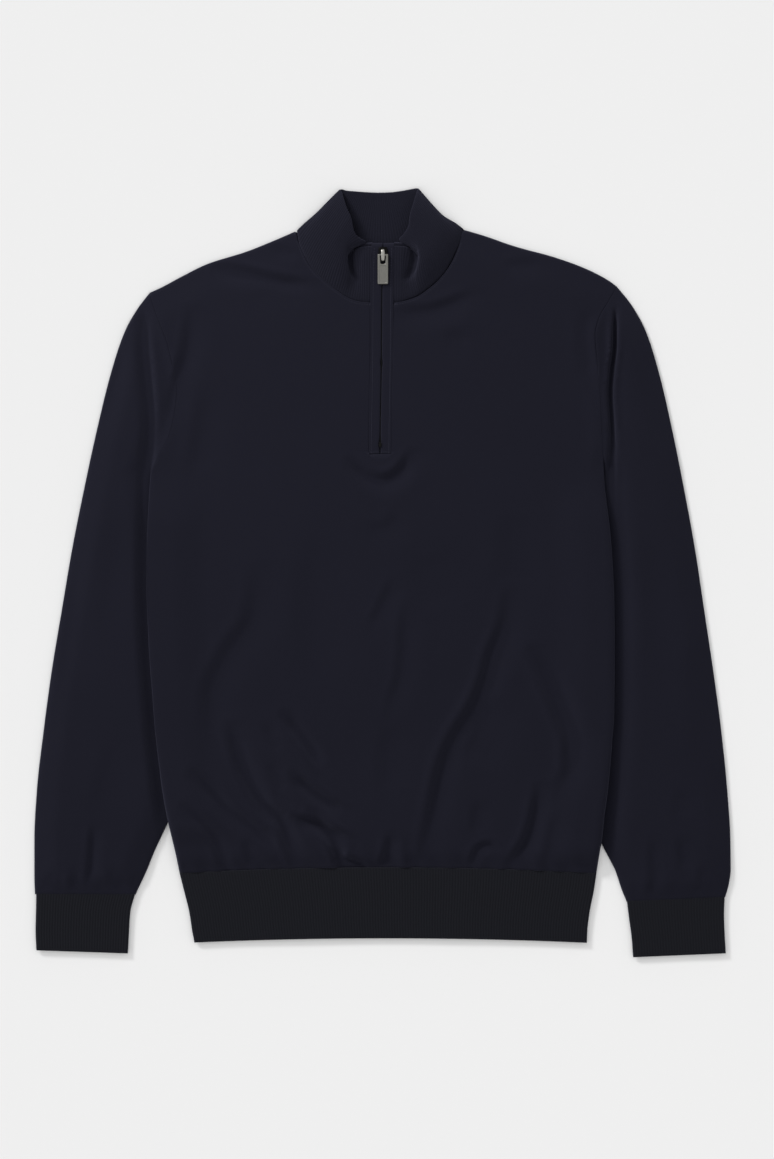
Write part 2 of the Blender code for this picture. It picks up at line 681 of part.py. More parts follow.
# ---------------------------------------------------------------- ribbed tubes
def rib_tube(name, lines, height, wall, pitch, finish):
    """A flat ribbed tube. lines holds, from one end to the other, (left x, right x, y at an x)."""
    count = round((lines[0][1] - lines[0][0]) / pitch)
    outers = []
    inners = []
    for left, right, y_at in lines:
        width = right - left
        upper = [(left, y_at(left), height / 2), (left + 0.7, y_at(left + 0.7), height - 0.5)]
        for i in range(2 * count - 1):
            x = mix(left + 1.4, right - 1.4, i / (2 * count - 2))
            fade = smooth(0, 12, x - left) * smooth(0, 12, right - x)
            z = height - 0.3 + 0.3 * fade - RIB_DEPTH * (i % 2)
            upper.append((x, y_at(x), z))
        upper.append((right - 0.7, y_at(right - 0.7), height - 0.5))
        upper.append((right, y_at(right), height / 2))
        lower = []
        inside_low = []
        inside_high = []
        flats = max(3, round(width / 40))
        for i in range(flats + 1):
            x = mix(right - 1.6, left + 1.6, i / flats)
            lower.append((x, y_at(x), 0.0))
        for i in range(flats + 1):
            x = mix(left + wall + 1.2, right - wall - 1.2, i / flats)
            inside_high.append((x, y_at(x), height - RIB_DEPTH - wall + 0.25))
            inside_low.append((x, y_at(x), wall))
        near, far = left + wall + 0.2, right - wall - 0.2
        middle = (height - RIB_DEPTH + 0.25) / 2
        inner = [(near, y_at(near), middle)] + inside_high + [(far, y_at(far), middle)]
        outers.append(upper + lower)
        inners.append(inner + list(reversed(inside_low)))
    tube(name, outers, inners, finish)


def hem_band():
    lines = [(left, right, lambda x, f=share: hem_y(x, f)) for share, left, right in HEM]
    rib_tube("hem_band", lines, HEM_HEIGHT, RIB_WALL, RIB_PITCH, "rib")


def cuff(side, name):
    lines = []
    seam_left, seam_right, end_left, end_right = CUFF_ENDS[side]
    for share, left, right in CUFF[side]:
        def y_at(x, share=share, left=left, right=right):
            across = (x - left) / (right - left)
            seam = mix(seam_left, seam_right, across)
            end = mix(end_left, end_right, across)
            return mix(seam, end, share)

        lines.append((left, right, y_at))
    rib_tube(name, lines, CUFF_HEIGHT, RIB_WALL, RIB_PITCH, "rib")


# ---------------------------------------------------------------- collar
def collar_row(rows, share):
    """A row between the table's rows, at a share of the way round."""
    lengths = [0.0]
    for a, b in zip(rows, rows[1:]):
        base = math.dist(a[:3], b[:3])
        top = math.dist(a[3:6], b[3:6])
        lengths.append(lengths[-1] + 0.6 * base + 0.4 * top)
    key = share * lengths[-1]
    return [through(lengths, [row[i] for row in rows], key) for i in range(len(rows[0]))]


def collar_x(side, out, y):
    """X of a point this far out from the collar's middle; near the front it leans with the zip."""
    near_zip = smooth(ZIP_SHIFT_REACH, 12, out)
    return COLLAR_X + side * out + (zip_x(y) - COLLAR_X) * near_zip


def collar_point(side, row, height, offset):
    """A point of the wall: offset is measured out from the middle of its thickness."""
    base_out, base_y, base_z, top_out, top_y, top_z, lean, bulge = row
    front = lean < 90
    out = mix(base_out, top_out, height)
    rise = smooth(0.15, 1.0, height) if front else height
    z = mix(base_z, top_z, rise) + bulge * 4 * height * (1 - height)
    turn = math.radians(lean)
    y = mix(base_y, top_y, height)
    x = collar_x(side, out, y) if front else COLLAR_X + side * out
    return x + side * math.sin(turn) * offset, y, z + math.cos(turn) * offset


def collar():
    """The wall runs from the zip round the left side, the back and the right side to the zip."""
    around = 0.0
    for a, b in zip(COLLAR_ROWS, COLLAR_ROWS[1:]):
        around += 0.5 * (math.dist(a[:3], b[:3]) + math.dist(a[3:6], b[3:6]))
    ribs = round(around / COLLAR_RIB_PITCH)
    stations = [(LEFT, i / (2 * ribs)) for i in range(2 * ribs + 1)]
    stations += [(RIGHT, i / (2 * ribs)) for i in range(2 * ribs - 1, -1, -1)]
    outer_columns = []
    inner_columns = []
    for index, (side, share) in enumerate(stations):
        row = collar_row(COLLAR_ROWS, share)
        front = row[6] < 80
        ribbed = COLLAR_RIB_DEPTH if index % 2 else 0.0
        half = COLLAR_WALL / 2
        outer_rib = ribbed if front else 0.0
        inner_rib = ribbed if row[6] > 100 else 0.0
        plain_step = index % 8 in (0, 4)
        outer_columns.append((side, row, half - outer_rib, front or plain_step))
        inner_columns.append((side, row, -half + inner_rib, not front or plain_step))
    last = len(stations) - 1
    loops = []
    for columns in (outer_columns, inner_columns):
        kept = [c for i, c in enumerate(columns) if c[3] or i in (0, last)]
        loops.append(kept)
    points = []
    grids = []
    for columns in loops:
        grid = []
        for height in COLLAR_HEIGHTS:
            line = []
            for side, row, offset, _ in columns:
                thin = RIM_THINNING if height == 1.0 else 1.0
                line.append(len(points))
                points.append(collar_point(side, row, height, offset * thin))
            grid.append(line)
        grids.append(grid)
    outer, inner = grids
    faces = []
    for low, high in zip(outer, outer[1:]):
        for a, b, c, d in zip(low, low[1:], high[1:], high):
            faces.append((a, b, c, d))
    for low, high in zip(inner, inner[1:]):
        for a, b, c, d in zip(low, low[1:], high[1:], high):
            faces.append((d, c, b, a))
    faces += strip(points, inner[0], outer[0])
    faces += strip(points, outer[-1], inner[-1])
    for i in range(len(COLLAR_HEIGHTS) - 1):
        faces.append((outer[i][0], outer[i + 1][0], inner[i + 1][0], inner[i][0]))
        faces.append((outer[i + 1][-1], outer[i][-1], inner[i][-1], inner[i + 1][-1]))
    faces = [tuple(reversed(face)) for face in faces]
    make("collar", points, faces, "rib")


def strip(points, first, second):
    """Triangles between two lines of points that start and end side by side."""
    faces = []
    i = j = 0
    while i < len(first) - 1 or j < len(second) - 1:
        more_first = i < len(first) - 1
        more_second = j < len(second) - 1
        ahead = math.dist(points[first[i + 1]], points[second[j]]) if more_first else math.inf
        behind = math.dist(points[first[i]], points[second[j + 1]]) if more_second else math.inf
        if ahead <= behind:
            faces.append((first[i], first[i + 1], second[j]))
            i += 1
        else:
            faces.append((first[i], second[j + 1], second[j]))
            j += 1
    return faces


# ---------------------------------------------------------------- zip
def centre_height(y):
    """The height of the cloth beside the zip: the front panel's, then the collar's."""
    body = front_top(zip_x(min(y, 258.0)), min(y, 258.0))
    row = COLLAR_ROWS[0]
    height = max(0.0, (y - row[1]) / (row[4] - row[1]))
    cloth = collar_point(RIGHT, row, height, COLLAR_WALL / 2)[2]
    return mix(body, cloth, smooth(258, 272, y))


def zip_run(name, start, end, section, finish):
    """A strip along the zip. section gives, at a y, its (x from the zip, z) points in a loop."""
    count = max(2, round(abs(end - start) / 13))
    loops = []
    for i in range(count + 1):
        y = mix(start, end, i / count)
        loops.append([(zip_x(y) + dx, y, z) for dx, z in section(y)])
    points = [p for loop in loops for p in loop]
    around = len(loops[0])
    faces = [tuple(reversed(range(around)))]
    faces.append(tuple(range(count * around, (count + 1) * around)))
    for ring in range(count):
        for i in range(around):
            j = (i + 1) % around
            low, high = ring * around, (ring + 1) * around
            faces.append((low + i, low + j, high + j, high + i))
    return make(name, points, faces, finish)


def facing(side, name):
    """A zip facing: a folded strip that stands a little proud of the cloth and rolls in at the zip."""
    profile = [
        # share of the width from the zip, height above the cloth
        (0.0, -0.9), (0.05, -0.1), (0.2, FACING_PROUD), (0.5, FACING_PROUD * 0.8),
        (0.88, FACING_PROUD), (1.0, 0.0),
    ]

    def section(y):
        cloth = centre_height(y)
        low = cloth - FACING_WALL
        upper = [(ZIP_GAP / 2 + FACING_WIDTH * share, cloth + z) for share, z in profile]
        loop = [(ZIP_GAP / 2, low)] + upper + [(ZIP_GAP / 2 + FACING_WIDTH, low)]
        if side == RIGHT:
            loop = list(reversed(loop))
        return [(side * dx, z) for dx, z in loop]

    zip_run(name, ZIP_TOP, ZIP_END, section, "jersey")


def box_section(width, low, high):
    half = width / 2
    return [(half, low), (half, high), (-half, high), (-half, low)]


def zip_tape():
    def section(y):
        top = centre_height(y) - FACING_WALL - SEAM
        return box_section(TAPE_WIDTH, top - TAPE_WALL, top)

    zip_run("zip_tape", ZIP_TOP - 1, ZIP_END + 1, section, "tape")


def zip_chain():
    def section(y):
        low = centre_height(y) - FACING_WALL
        return box_section(CHAIN_WIDTH, low, low + CHAIN_WALL)

    zip_run("zip_chain", SLIDER["outline"][-1][0], STOP["y"] - STOP["length"], section, "teeth")


def zip_stop():
    def section(y):
        low = centre_height(y) + FACING_PROUD + SEAM
        half = STOP["width"] / 2
        high = low + STOP["height"]
        return [(half, low), (half * 0.7, high), (-half * 0.7, high), (-half, low)]

    y = STOP["y"]
    zip_run("zip_stop", y + STOP["length"] / 2, y - STOP["length"] / 2, section, "metal")


def plate_level():
    """The underside of the slider's plate, clear of the facings all along it."""
    ys = [y for y, _ in SLIDER["outline"]]
    return max(centre_height(y) for y in ys) + FACING_PROUD + SEAM


def prism(outline, low, high):
    """Points and faces of an upright prism on an outline that runs anticlockwise."""
    count = len(outline)
    points = [(x, y, low) for x, y in outline] + [(x, y, high) for x, y in outline]
    faces = [tuple(reversed(range(count))), tuple(range(count, 2 * count))]
    for i in range(count):
        j = (i + 1) % count
        faces.append((i, j, count + j, count + i))
    return points, faces


def joined(base, others):
    """Adds the other objects to base with Boolean unions and hides them."""
    for other in others:
        other.hide_render = True
        other.display_type = "WIRE"
        union = base.modifiers.new(other.name, "BOOLEAN")
        union.operation = "UNION"
        union.object = other


def slider():
    """The slider: a tapered plate, the post that parts the teeth, and the bail over the tab's bar."""
    middle = zip_x(PIVOT_Y)
    low = plate_level()
    high = low + SLIDER["plate"]
    right = [(middle + half, y) for y, half in SLIDER["outline"]]
    left = [(middle - half, y) for y, half in reversed(SLIDER["outline"])]
    points, faces = prism(list(reversed(right + left)), low, high)
    pivot = (middle, PIVOT_Y, high + PIVOT_ABOVE_PLATE)
    plate = make("zip_slider", points, faces, "metal")

    half = SLIDER["post"] / 2
    post_outline = [(middle + dx, y) for dx, y in ((-half, 314), (half, 314), (half, 319), (-half, 319))]
    foot = centre_height(316) - FACING_WALL + 0.1
    points, faces = prism(post_outline, foot, low + 0.4)
    post = make("slider_post", points, faces, "metal")

    top, bottom, strap, inside = (BAIL[k] for k in ("top", "bottom", "strap", "inside"))
    sunk = high - 0.3
    arch = [
        (bottom, sunk), (bottom, high + inside * 0.6), (bottom + 1.4, high + inside + strap),
        (top - 1.6, high + inside + strap), (top, high + inside * 0.5), (top, sunk),
        (top - strap, sunk), (top - strap, high + inside * 0.4), (top - 1.6 - strap * 0.4, high + inside),
        (bottom + 1.4 + strap * 0.4, high + inside), (bottom + strap, high + inside * 0.5),
        (bottom + strap, sunk),
    ]
    side = BAIL["width"] / 2
    count = len(arch)
    points = [(middle - side, y, z) for y, z in arch] + [(middle + side, y, z) for y, z in arch]
    faces = [tuple(range(count)), tuple(reversed(range(count, 2 * count)))]
    for i in range(count):
        j = (i + 1) % count
        faces.append((j, i, count + i, count + j))
    bail = make("slider_bail", points, faces, "metal")
    joined(plate, [post, bail])
    return pivot


def pull_tab(pivot):
    """A flat metal tab with an eye, hung on its bar under the bail, its free end near the cloth."""
    x0, y0, z0 = pivot
    half = TAB["width"] / 2
    hole = TAB["hole"] / 2
    bar = TAB["bar"] / 2
    end = TAB["end"] - y0
    corner = 1.2
    outline = [
        (-half, bar - 0.4), (-half + 0.4, bar), (half - 0.4, bar), (half, bar - 0.4),
        (half, end + corner), (half - corner, end), (-half + corner, end), (-half, end + corner),
    ]
    eye_end = TAB["hole_end"] - y0
    eye = [(-hole, -bar), (hole, -bar), (hole, eye_end + 1.2), (hole - 1.2, eye_end),
           (-hole + 1.2, eye_end), (-hole, eye_end + 1.2)]
    rest = centre_height(TAB["end"]) + FACING_PROUD + SEAM + TAB["wall"] / 2
    slope = math.atan2(rest + 0.2 - z0, -end)
    wall = TAB["wall"]

    def placed(shape, low, high):
        found = []
        for z in (low, high):
            for x, y in shape:
                found.append((
                    x0 + x,
                    y0 + y * math.cos(slope) + z * math.sin(slope),
                    z0 - y * math.sin(slope) + z * math.cos(slope),
                ))
        return found

    def solid(name, shape, thickness):
        clockwise = sum(a[0] * b[1] - b[0] * a[1] for a, b in zip(shape, shape[1:] + shape[:1])) < 0
        shape = list(reversed(shape)) if clockwise else shape
        count = len(shape)
        points = placed(shape, -thickness / 2, thickness / 2)
        faces = [tuple(reversed(range(count))), tuple(range(count, 2 * count))]
        for i in range(count):
            j = (i + 1) % count
            faces.append((i, j, count + j, count + i))
        return make(name, points, faces, "metal", origin=pivot)

    tab = solid("pull_tab", outline, wall)
    cutter = solid("tab_eye", eye, wall * 3)
    cutter.hide_render = True
    cutter.display_type = "WIRE"
    cut = tab.modifiers.new("eye", "BOOLEAN")
    cut.operation = "DIFFERENCE"
    cut.object = cutter


def main():
    for old in list(bpy.data.objects):
        bpy.data.objects.remove(old)
    back_body()
    front_body()
    sleeve(LEFT, "sleeve_left")
    sleeve(RIGHT, "sleeve_right")
    cuff(LEFT, "cuff_left")
    cuff(RIGHT, "cuff_right")
    hem_band()
    collar()
    facing(LEFT, "placket_left")
    facing(RIGHT, "placket_right")
    zip_tape()
    zip_chain()
    zip_stop()
    pull_tab(slider())


main()
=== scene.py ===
"""A navy quarter-zip sweater in fine knit, laid flat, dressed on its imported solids.

The tables are in millimetres: x to the right, y up towards the collar, z up from the floor.
"""

import json
import math
from functools import partial

import bmesh
import bpy
import numpy as np
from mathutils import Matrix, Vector
from mathutils.geometry import delaunay_2d_cdt

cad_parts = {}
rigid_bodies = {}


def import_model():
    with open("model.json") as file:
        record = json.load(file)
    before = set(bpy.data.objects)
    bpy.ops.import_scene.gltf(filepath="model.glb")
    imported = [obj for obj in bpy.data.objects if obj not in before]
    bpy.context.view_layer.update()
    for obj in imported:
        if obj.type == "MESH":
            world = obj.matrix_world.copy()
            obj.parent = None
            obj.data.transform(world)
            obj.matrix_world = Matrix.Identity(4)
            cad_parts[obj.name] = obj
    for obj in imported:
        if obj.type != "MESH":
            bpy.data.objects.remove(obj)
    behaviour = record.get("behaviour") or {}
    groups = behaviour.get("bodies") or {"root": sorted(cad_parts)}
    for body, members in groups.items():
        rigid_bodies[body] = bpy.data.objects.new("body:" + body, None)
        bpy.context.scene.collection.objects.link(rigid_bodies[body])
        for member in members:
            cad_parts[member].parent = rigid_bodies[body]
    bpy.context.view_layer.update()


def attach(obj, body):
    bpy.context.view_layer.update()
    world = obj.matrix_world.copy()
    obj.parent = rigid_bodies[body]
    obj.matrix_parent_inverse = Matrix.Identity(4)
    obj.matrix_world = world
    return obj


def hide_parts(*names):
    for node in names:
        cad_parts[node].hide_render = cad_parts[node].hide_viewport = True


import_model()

MM = 0.001
LEFT, RIGHT = -1, 1
SIDES = ((LEFT, "left"), (RIGHT, "right"))
SKIN, RIB_SKIN = 1.0, 1.3  # thickness of the jersey and of the single rib
COLLAR_MIDDLE = -3.4  # x

# ------------------------------------------------------------ the sweater's lines, as it lies
BODY_EDGE = {
    # y, x from the underarm to the hem seam
    LEFT: [(99.5, -228), (82, -229.3), (57, -230.5), (33, -231.6), (-17, -231.8), (-66, -230),
           (-91, -228.6), (-115, -226.6), (-140, -224.8), (-164, -222.6), (-189, -219.6),
           (-214, -216.4), (-238, -212.2), (-250, -209.6), (-273, -204.4), (-296, -199.7)],
    RIGHT: [(103.5, 217.5), (82, 219), (57, 222), (33, 224.6), (8, 226.3), (-17, 227.6), (-66, 228.2),
            (-140, 227.8), (-164, 226), (-189, 224), (-214, 221.6), (-238, 218.4), (-261, 216),
            (-273, 214), (-296, 210.5)],
}
SHOULDER = {
    # x, y from beside the collar to the shoulder point
    LEFT: [(-86.5, 336), (-105, 328), (-134.5, 316.2), (-172, 304.4), (-196.5, 292.5),
           (-218, 281), (-229.5, 275.8)],
    RIGHT: [(79.6, 338), (100, 332), (128.5, 322.1), (171, 310.3), (202.5, 298.5),
            (224, 287), (231, 281.7)],
}
ARMHOLE = {
    # x, y from the shoulder point to the underarm
    LEFT: [(-229.5, 275.8), (-222, 254), (-209.5, 219), (-203, 180), (-208, 143),
           (-219, 116), (-228, 99.5)],
    RIGHT: [(231, 281.7), (222, 266), (213, 250), (209.5, 234), (211.5, 210), (214, 175),
            (215.5, 141), (217.5, 103.5)],
}
NECK = {
    # x, y of the neck seam from the zip facing round to the shoulder
    LEFT: [(-12.1, 265.2), (-24, 266.4), (-33, 269.2), (-44, 276), (-55, 284.6), (-64.5, 293),
           (-73, 303), (-79, 314.5), (-84, 327), (-86.5, 336)],
    RIGHT: [(11.9, 265.2), (19, 266.2), (33, 270.4), (45.5, 278.6), (57, 289), (66, 300.5),
            (72.5, 313), (77, 325), (79.6, 338)],
}
SLEEVE_OUTER = {
    # y, x of the outer fold
    LEFT: [(275.8, -229.5), (259, -242), (239.5, -253), (200, -266.5), (141, -281.2),
           (82, -294), (22.7, -305.8), (-36.5, -315.8), (-95.5, -325.6), (-154.6, -333.6),
           (-213.7, -340.3), (-263, -342.8), (-300, -342.8), (-316, -342.2)],
    RIGHT: [(281.7, 231), (264, 245), (239.5, 258.6), (200, 271.4), (141, 285.2), (82, 297),
            (22.7, 307.8), (-36.5, 316.7), (-95.5, 325.5), (-154.6, 333.4), (-213.7, 339.4),
            (-263, 342.5), (-292, 342.8), (-308, 340.6), (-319, 337.3)],
}
SLEEVE_UNDER = {
    # y, how far the inner fold reaches in under the body's edge
    LEFT: [(99.5, 0.5), (88, 2.2), (73, 6), (58, 9.5), (28, 12.5), (-17, 16), (-66, 19), (-115, 20),
           (-165, 19.5), (-204, 16), (-226, 9), (-243, 1), (-244.5, 0)],
    RIGHT: [(103.5, 0.5), (91, 2.2), (77, 6), (62, 9.5), (28, 12), (-20, 14), (-66, 15.5), (-115, 17),
            (-165, 18), (-208, 15), (-243, 7.5), (-264, 1), (-265.5, 0)],
}
SLEEVE_INNER = {
    # y, x of the inner fold below the body's edge
    LEFT: [(-244.5, -210.9), (-258, -217), (-272.8, -224), (-292.5, -232), (-316, -243)],
    RIGHT: [(-265.5, 215.2), (-275, 220), (-292.5, 229), (-312, 235.6), (-323, 240.2)],
}
SLEEVE_END = {LEFT: (-316.2, -316.6), RIGHT: (-319.0, -323.5)}  # y at the outer and inner folds
VALLEY = {
    # y, x of the crease where the sleeve turns down from the shoulder
    LEFT: [(256, -234), (226.6, -233), (185, -229.6), (147, -227), (115, -228.6), (99.5, -229.5)],
    RIGHT: [(252, 229), (226.6, 228.6), (201, 226), (179, 224.4), (153.7, 225.4), (134.5, 226),
            (115.4, 223.5), (103.5, 221)],
}
TRENCH = {
    # depth, half width, path of (x, y): the core of that crease
    LEFT: [(3.4, 4.6, [(-237, 262), (-233.6, 240), (-233, 222), (-229.6, 185), (-227, 147),
                       (-228.5, 115), (-231, 84), (-234.4, 52)])],
    RIGHT: [(4.6, 2.8, [(229, 258), (228.8, 240), (228.4, 222), (225.9, 201), (224.3, 179),
                        (225.7, 153.7), (226.6, 134.5), (226, 115), (225.4, 90), (226.4, 60)]),
            (7.5, 1.9, [(229, 256), (228.4, 222), (225.9, 201), (224.3, 179), (225.7, 153.7),
                        (226.6, 124)])],
}
HEM_MIDDLE_X, HEM_HALF = 5.0, 200.0
HEM_SEAM_Y, HEM_SEAM_BOW = -290.2, 5.2
HEM_END_Y, HEM_END_BOW = -359.6, 4.6
ZIP_LINE = [(325, 0.55), (321, 0.5), (279, -0.5), (210, -1.0), (124, -2.4), (110, -2.5)]  # y, x


# ------------------------------------------------------------ curves
def ease(start, end, value):
    """0 at start, 1 at end, with no corner at either; start may be the larger."""
    share = np.clip((np.asarray(value, float) - start) / (end - start), 0, 1)
    return share * share * (3 - 2 * share)


def ease_at(level, span, value):
    """The same over a span that is counted from a level."""
    return ease(level + span[0], level + span[1], value)


def bulge(share):
    """The height of a rounded edge at a share of the way in from it."""
    share = np.clip(share, 0, 1)
    return np.sqrt(1 - (1 - share) ** 2)


def through(keys, values, at):
    """Values at some keys on the smooth curve through a table; it never overshoots its points."""
    keys, values = np.asarray(keys, float), np.asarray(values, float)
    wide = np.diff(keys)
    steep = np.diff(values) / wide
    slope = np.concatenate([steep[:1], np.zeros(len(wide) - 1), steep[-1:]])
    same = steep[1:] * steep[:-1] > 0
    near, far = 2 * wide[1:] + wide[:-1], wide[1:] + 2 * wide[:-1]
    with np.errstate(divide="ignore", invalid="ignore"):
        mean = (near + far) / (near / steep[:-1] + far / steep[1:])
    slope[1:-1] = np.where(same, mean, 0)
    at = np.clip(np.asarray(at, float), keys[0], keys[-1])
    i = np.clip(np.searchsorted(keys, at, side="right") - 1, 0, len(wide) - 1)
    t = (at - keys[i]) / wide[i]
    return (values[i] * (1 + 2 * t) * (1 - t) ** 2 + slope[i] * wide[i] * t * (1 - t) ** 2
            + values[i + 1] * t * t * (3 - 2 * t) + slope[i + 1] * wide[i] * t * t * (t - 1))


def curve(table):
    """A function that looks the second column up by the first, on the smooth curve."""
    rows = np.array(sorted(table), float)
    keys = np.linspace(rows[0, 0], rows[-1, 0], 600)
    values = through(rows[:, 0], rows[:, 1], keys)
    return lambda key: np.interp(key, keys, values)


def both_sides(tables):
    return {side: curve(table) for side, table in tables.items()}


def run(points, spacing=None, count=None):
    """Evenly spaced points on the smooth curve through points."""
    points = np.array(points, float)
    lengths = np.concatenate([[0], np.cumsum(np.hypot(*np.diff(points, axis=0)[:, :2].T))])
    count = count or max(2, round(lengths[-1] / spacing) + 1)
    at = np.linspace(0, lengths[-1], count)
    return np.stack([through(lengths, column, at) for column in points.T], 1)


def left_of(ways):
    """The unit ways to the left of some ways."""
    return np.stack([-ways[:, 1], ways[:, 0]], 1) / np.hypot(*ways.T)[:, None]


def to_segments(points, line, closed=False):
    """(distance to a line of straight runs, which run, share along it) for each point."""
    starts = line if closed else line[:-1]
    ends = np.roll(line, -1, 0) if closed else line[1:]
    way = ends - starts
    size = np.maximum((way ** 2).sum(1), 1e-9)
    best, which, share = [], [], []
    for part in np.array_split(points, max(1, len(points) * len(line) // 2_000_000)):
        away = part[:, None] - starts
        t = np.clip((away * way).sum(2) / size, 0, 1)
        d = ((away - t[..., None] * way) ** 2).sum(2)
        k = d.argmin(1)
        rows = np.arange(len(part))
        best.append(np.sqrt(d[rows, k]))
        which.append(k)
        share.append(t[rows, k])
    return np.concatenate(best), np.concatenate(which), np.concatenate(share)


body_edge, shoulder = both_sides(BODY_EDGE), both_sides(SHOULDER)
armhole_x = both_sides({side: [(y, x) for x, y in line] for side, line in ARMHOLE.items()})
sleeve_outer, sleeve_under = both_sides(SLEEVE_OUTER), both_sides(SLEEVE_UNDER)
sleeve_inner, valley_x = both_sides(SLEEVE_INNER), both_sides(VALLEY)
zip_x = curve(ZIP_LINE)
UNDERARM = {side: edge[0][0] for side, edge in BODY_EDGE.items()}  # its y
APEX = {side: fold[0][0] for side, fold in SLEEVE_INNER.items()}  # y where that fold comes into view


def hem_y(x, share):
    """Y on the hem band, at a share of the way from its seam down to its end."""
    bow = ((x - HEM_MIDDLE_X) / HEM_HALF) ** 2
    seam, end = HEM_SEAM_Y - HEM_SEAM_BOW * bow, HEM_END_Y - HEM_END_BOW * bow
    return seam + (end - seam) * share


# ------------------------------------------------------------ folds
LEAN = np.array((0.67, -0.74))  # folds fall off steeply on one side and rise gently towards this one
GENTLE = 1.25  # how much wider the gentle side is
FADE_IN, FADE_OUT = (-0.12, 0.28), (1.12, 0.72)  # shares of its length over which a fold comes and goes
RIDGE_LOSS = 0.73  # how much lower the ridge is on the gentle side
RIDGE_AWAY, RIDGE_FALL = 1.9, 1.6  # half widths out to a fold's ridge, and how sharp that is


def creases(folds, x, y, lean=1, ridge=0.3):
    """How far soft folds press the cloth down: troughs that fade at their ends, and low ridges."""
    points = np.stack([x, y], 1)
    troughs, ridges = np.zeros(len(points)), np.zeros(len(points))
    for depth, half_width, path in folds:
        line = run(path, spacing=6)
        reach = 7 * half_width
        near = ((points > line.min(0) - reach) & (points < line.max(0) + reach)).all(1)
        if not near.any():
            continue
        distance, which, share = to_segments(points[near], line)
        along = (which + share) / (len(line) - 1)
        nearest = line[which] + (line[which + 1] - line[which]) * share[:, None]
        toward = ((points[near] - nearest) @ LEAN) / np.maximum(distance, 1e-6)
        gentle = ease(-0.35, 0.75, toward * lean) * abs(lean)
        across = distance / (half_width * (1 + GENTLE * gentle))
        fade = ease(*FADE_IN, along) * ease(*FADE_OUT, along)
        troughs[near] += (depth * fade * np.exp(-across ** 2)) ** 3
        beside = np.exp(-((across - RIDGE_AWAY) ** 2) * RIDGE_FALL)
        ridges[near] += depth * fade * ridge * (1 - RIDGE_LOSS * gentle) * beside
    return np.cbrt(troughs) - ridges


FOLDS = [
    # depth, half width, path of (x, y): on the chest and the shoulders
    (3.2, 4.4, [(-163, 300), (-130, 294), (-95, 286), (-70, 283)]),
    (1.1, 4, [(-106, 320), (-84, 312)]),
    (0.9, 5, [(-128, 276), (-98, 272), (-76, 266)]),
    (2.2, 5, [(14, 256), (41, 257), (66, 264), (89, 273)]),
    (0.9, 7, [(60, 231), (86, 231)]),
    (1.0, 5, [(118, 301), (155, 304)]),
    (1.3, 8, [(-172, 176), (-176, 140), (-183, 96)]),
    (1.2, 8, [(203, 262), (203, 226), (206, 190)]),
    (3.4, 4.4, [(-32, 109), (-14, 95), (0, 91), (14, 97), (29, 117)]),
    (1.0, 6, [(-16, 44), (0, 42), (18, 57)]),
    # right of the belly down to the hem
    (4.2, 6, [(126, -20), (120, -53), (109, -81), (102, -107), (92, -130), (69, -168), (60, -192),
              (54, -218), (49, -243), (44, -265), (35, -286)]),
    (3.2, 11, [(112, -118), (98, -150), (84, -190)]),
    (4.6, 6.5, [(150, -78), (162, -103), (176, -136), (186, -167), (186, -190), (176, -214)]),
    (3.8, 4.6, [(154, -212), (150, -238), (143, -262), (126, -286)]),
    (2.3, 3.2, [(88, -288), (93, -272), (104, -267), (115, -276)]),
    (1.4, 5, [(94, -226), (92, -256)]),
    (1.5, 5, [(170, -238), (163, -286)]),
    (2.8, 4, [(8, -258), (5, -276), (-1, -290)]),
    (1.6, 5, [(24, -32), (20, -92), (8, -136)]),
    (1.3, 5, [(13, -8), (-10, -54)]),
    (1.3, 9, [(8, -150), (6, -214)]),
    (1.3, 4, [(24, -262), (28, -288)]),
    # left of the belly down to the hem
    (5.6, 5.0, [(-150, -152), (-137, -194), (-119, -225), (-101, -243), (-90, -270), (-83, -290)]),
    (2.4, 8, [(-122, 0), (-127, -44), (-152, -82), (-168, -124), (-168, -160)]),
    (3.8, 4.6, [(-96, -140), (-76, -166), (-60, -192)]),
    (4.0, 4.2, [(-88, -200), (-55, -225), (-38, -234)]),
    (4.8, 4.0, [(-86, -240), (-60, -250), (-34, -262)]),
    (5.4, 4.2, [(-70, -236), (-50, -262), (-41, -280), (-16, -290)]),
    (2.6, 11, [(-146, -176), (-124, -222), (-98, -262)]),
    (3.8, 5.0, [(-186, -198), (-154, -231), (-128, -251), (-104, -274)]),
    (3.0, 4.2, [(-194, -230), (-166, -260), (-153, -288)]),
    (1.6, 4, [(-134, -262), (-128, -289)]),
    (1.5, 5, [(-112, -186), (-98, -216)]),
    (1.3, 4, [(-116, -150), (-102, -176)]),
    (1.2, 12, [(128, 60), (130, 20), (126, -20)]),
    (1.0, 14, [(40, 18), (52, -38)]),
    (1.2, 14, [(-60, 40), (-66, -40), (-62, -110)]),
]
SHARED_FOLDS = [  # these cross the armholes
    (2.6, 5.2, [(-187.5, 256), (-189, 244), (-192.5, 217), (-201.4, 192), (-207.3, 160),
                (-211, 138)]),
    (1.2, 5, [(-216, 176), (-218, 150), (-221, 118)]),
    (1.5, 6, [(206, 200), (214, 170), (217, 130), (216, 96)]),
]
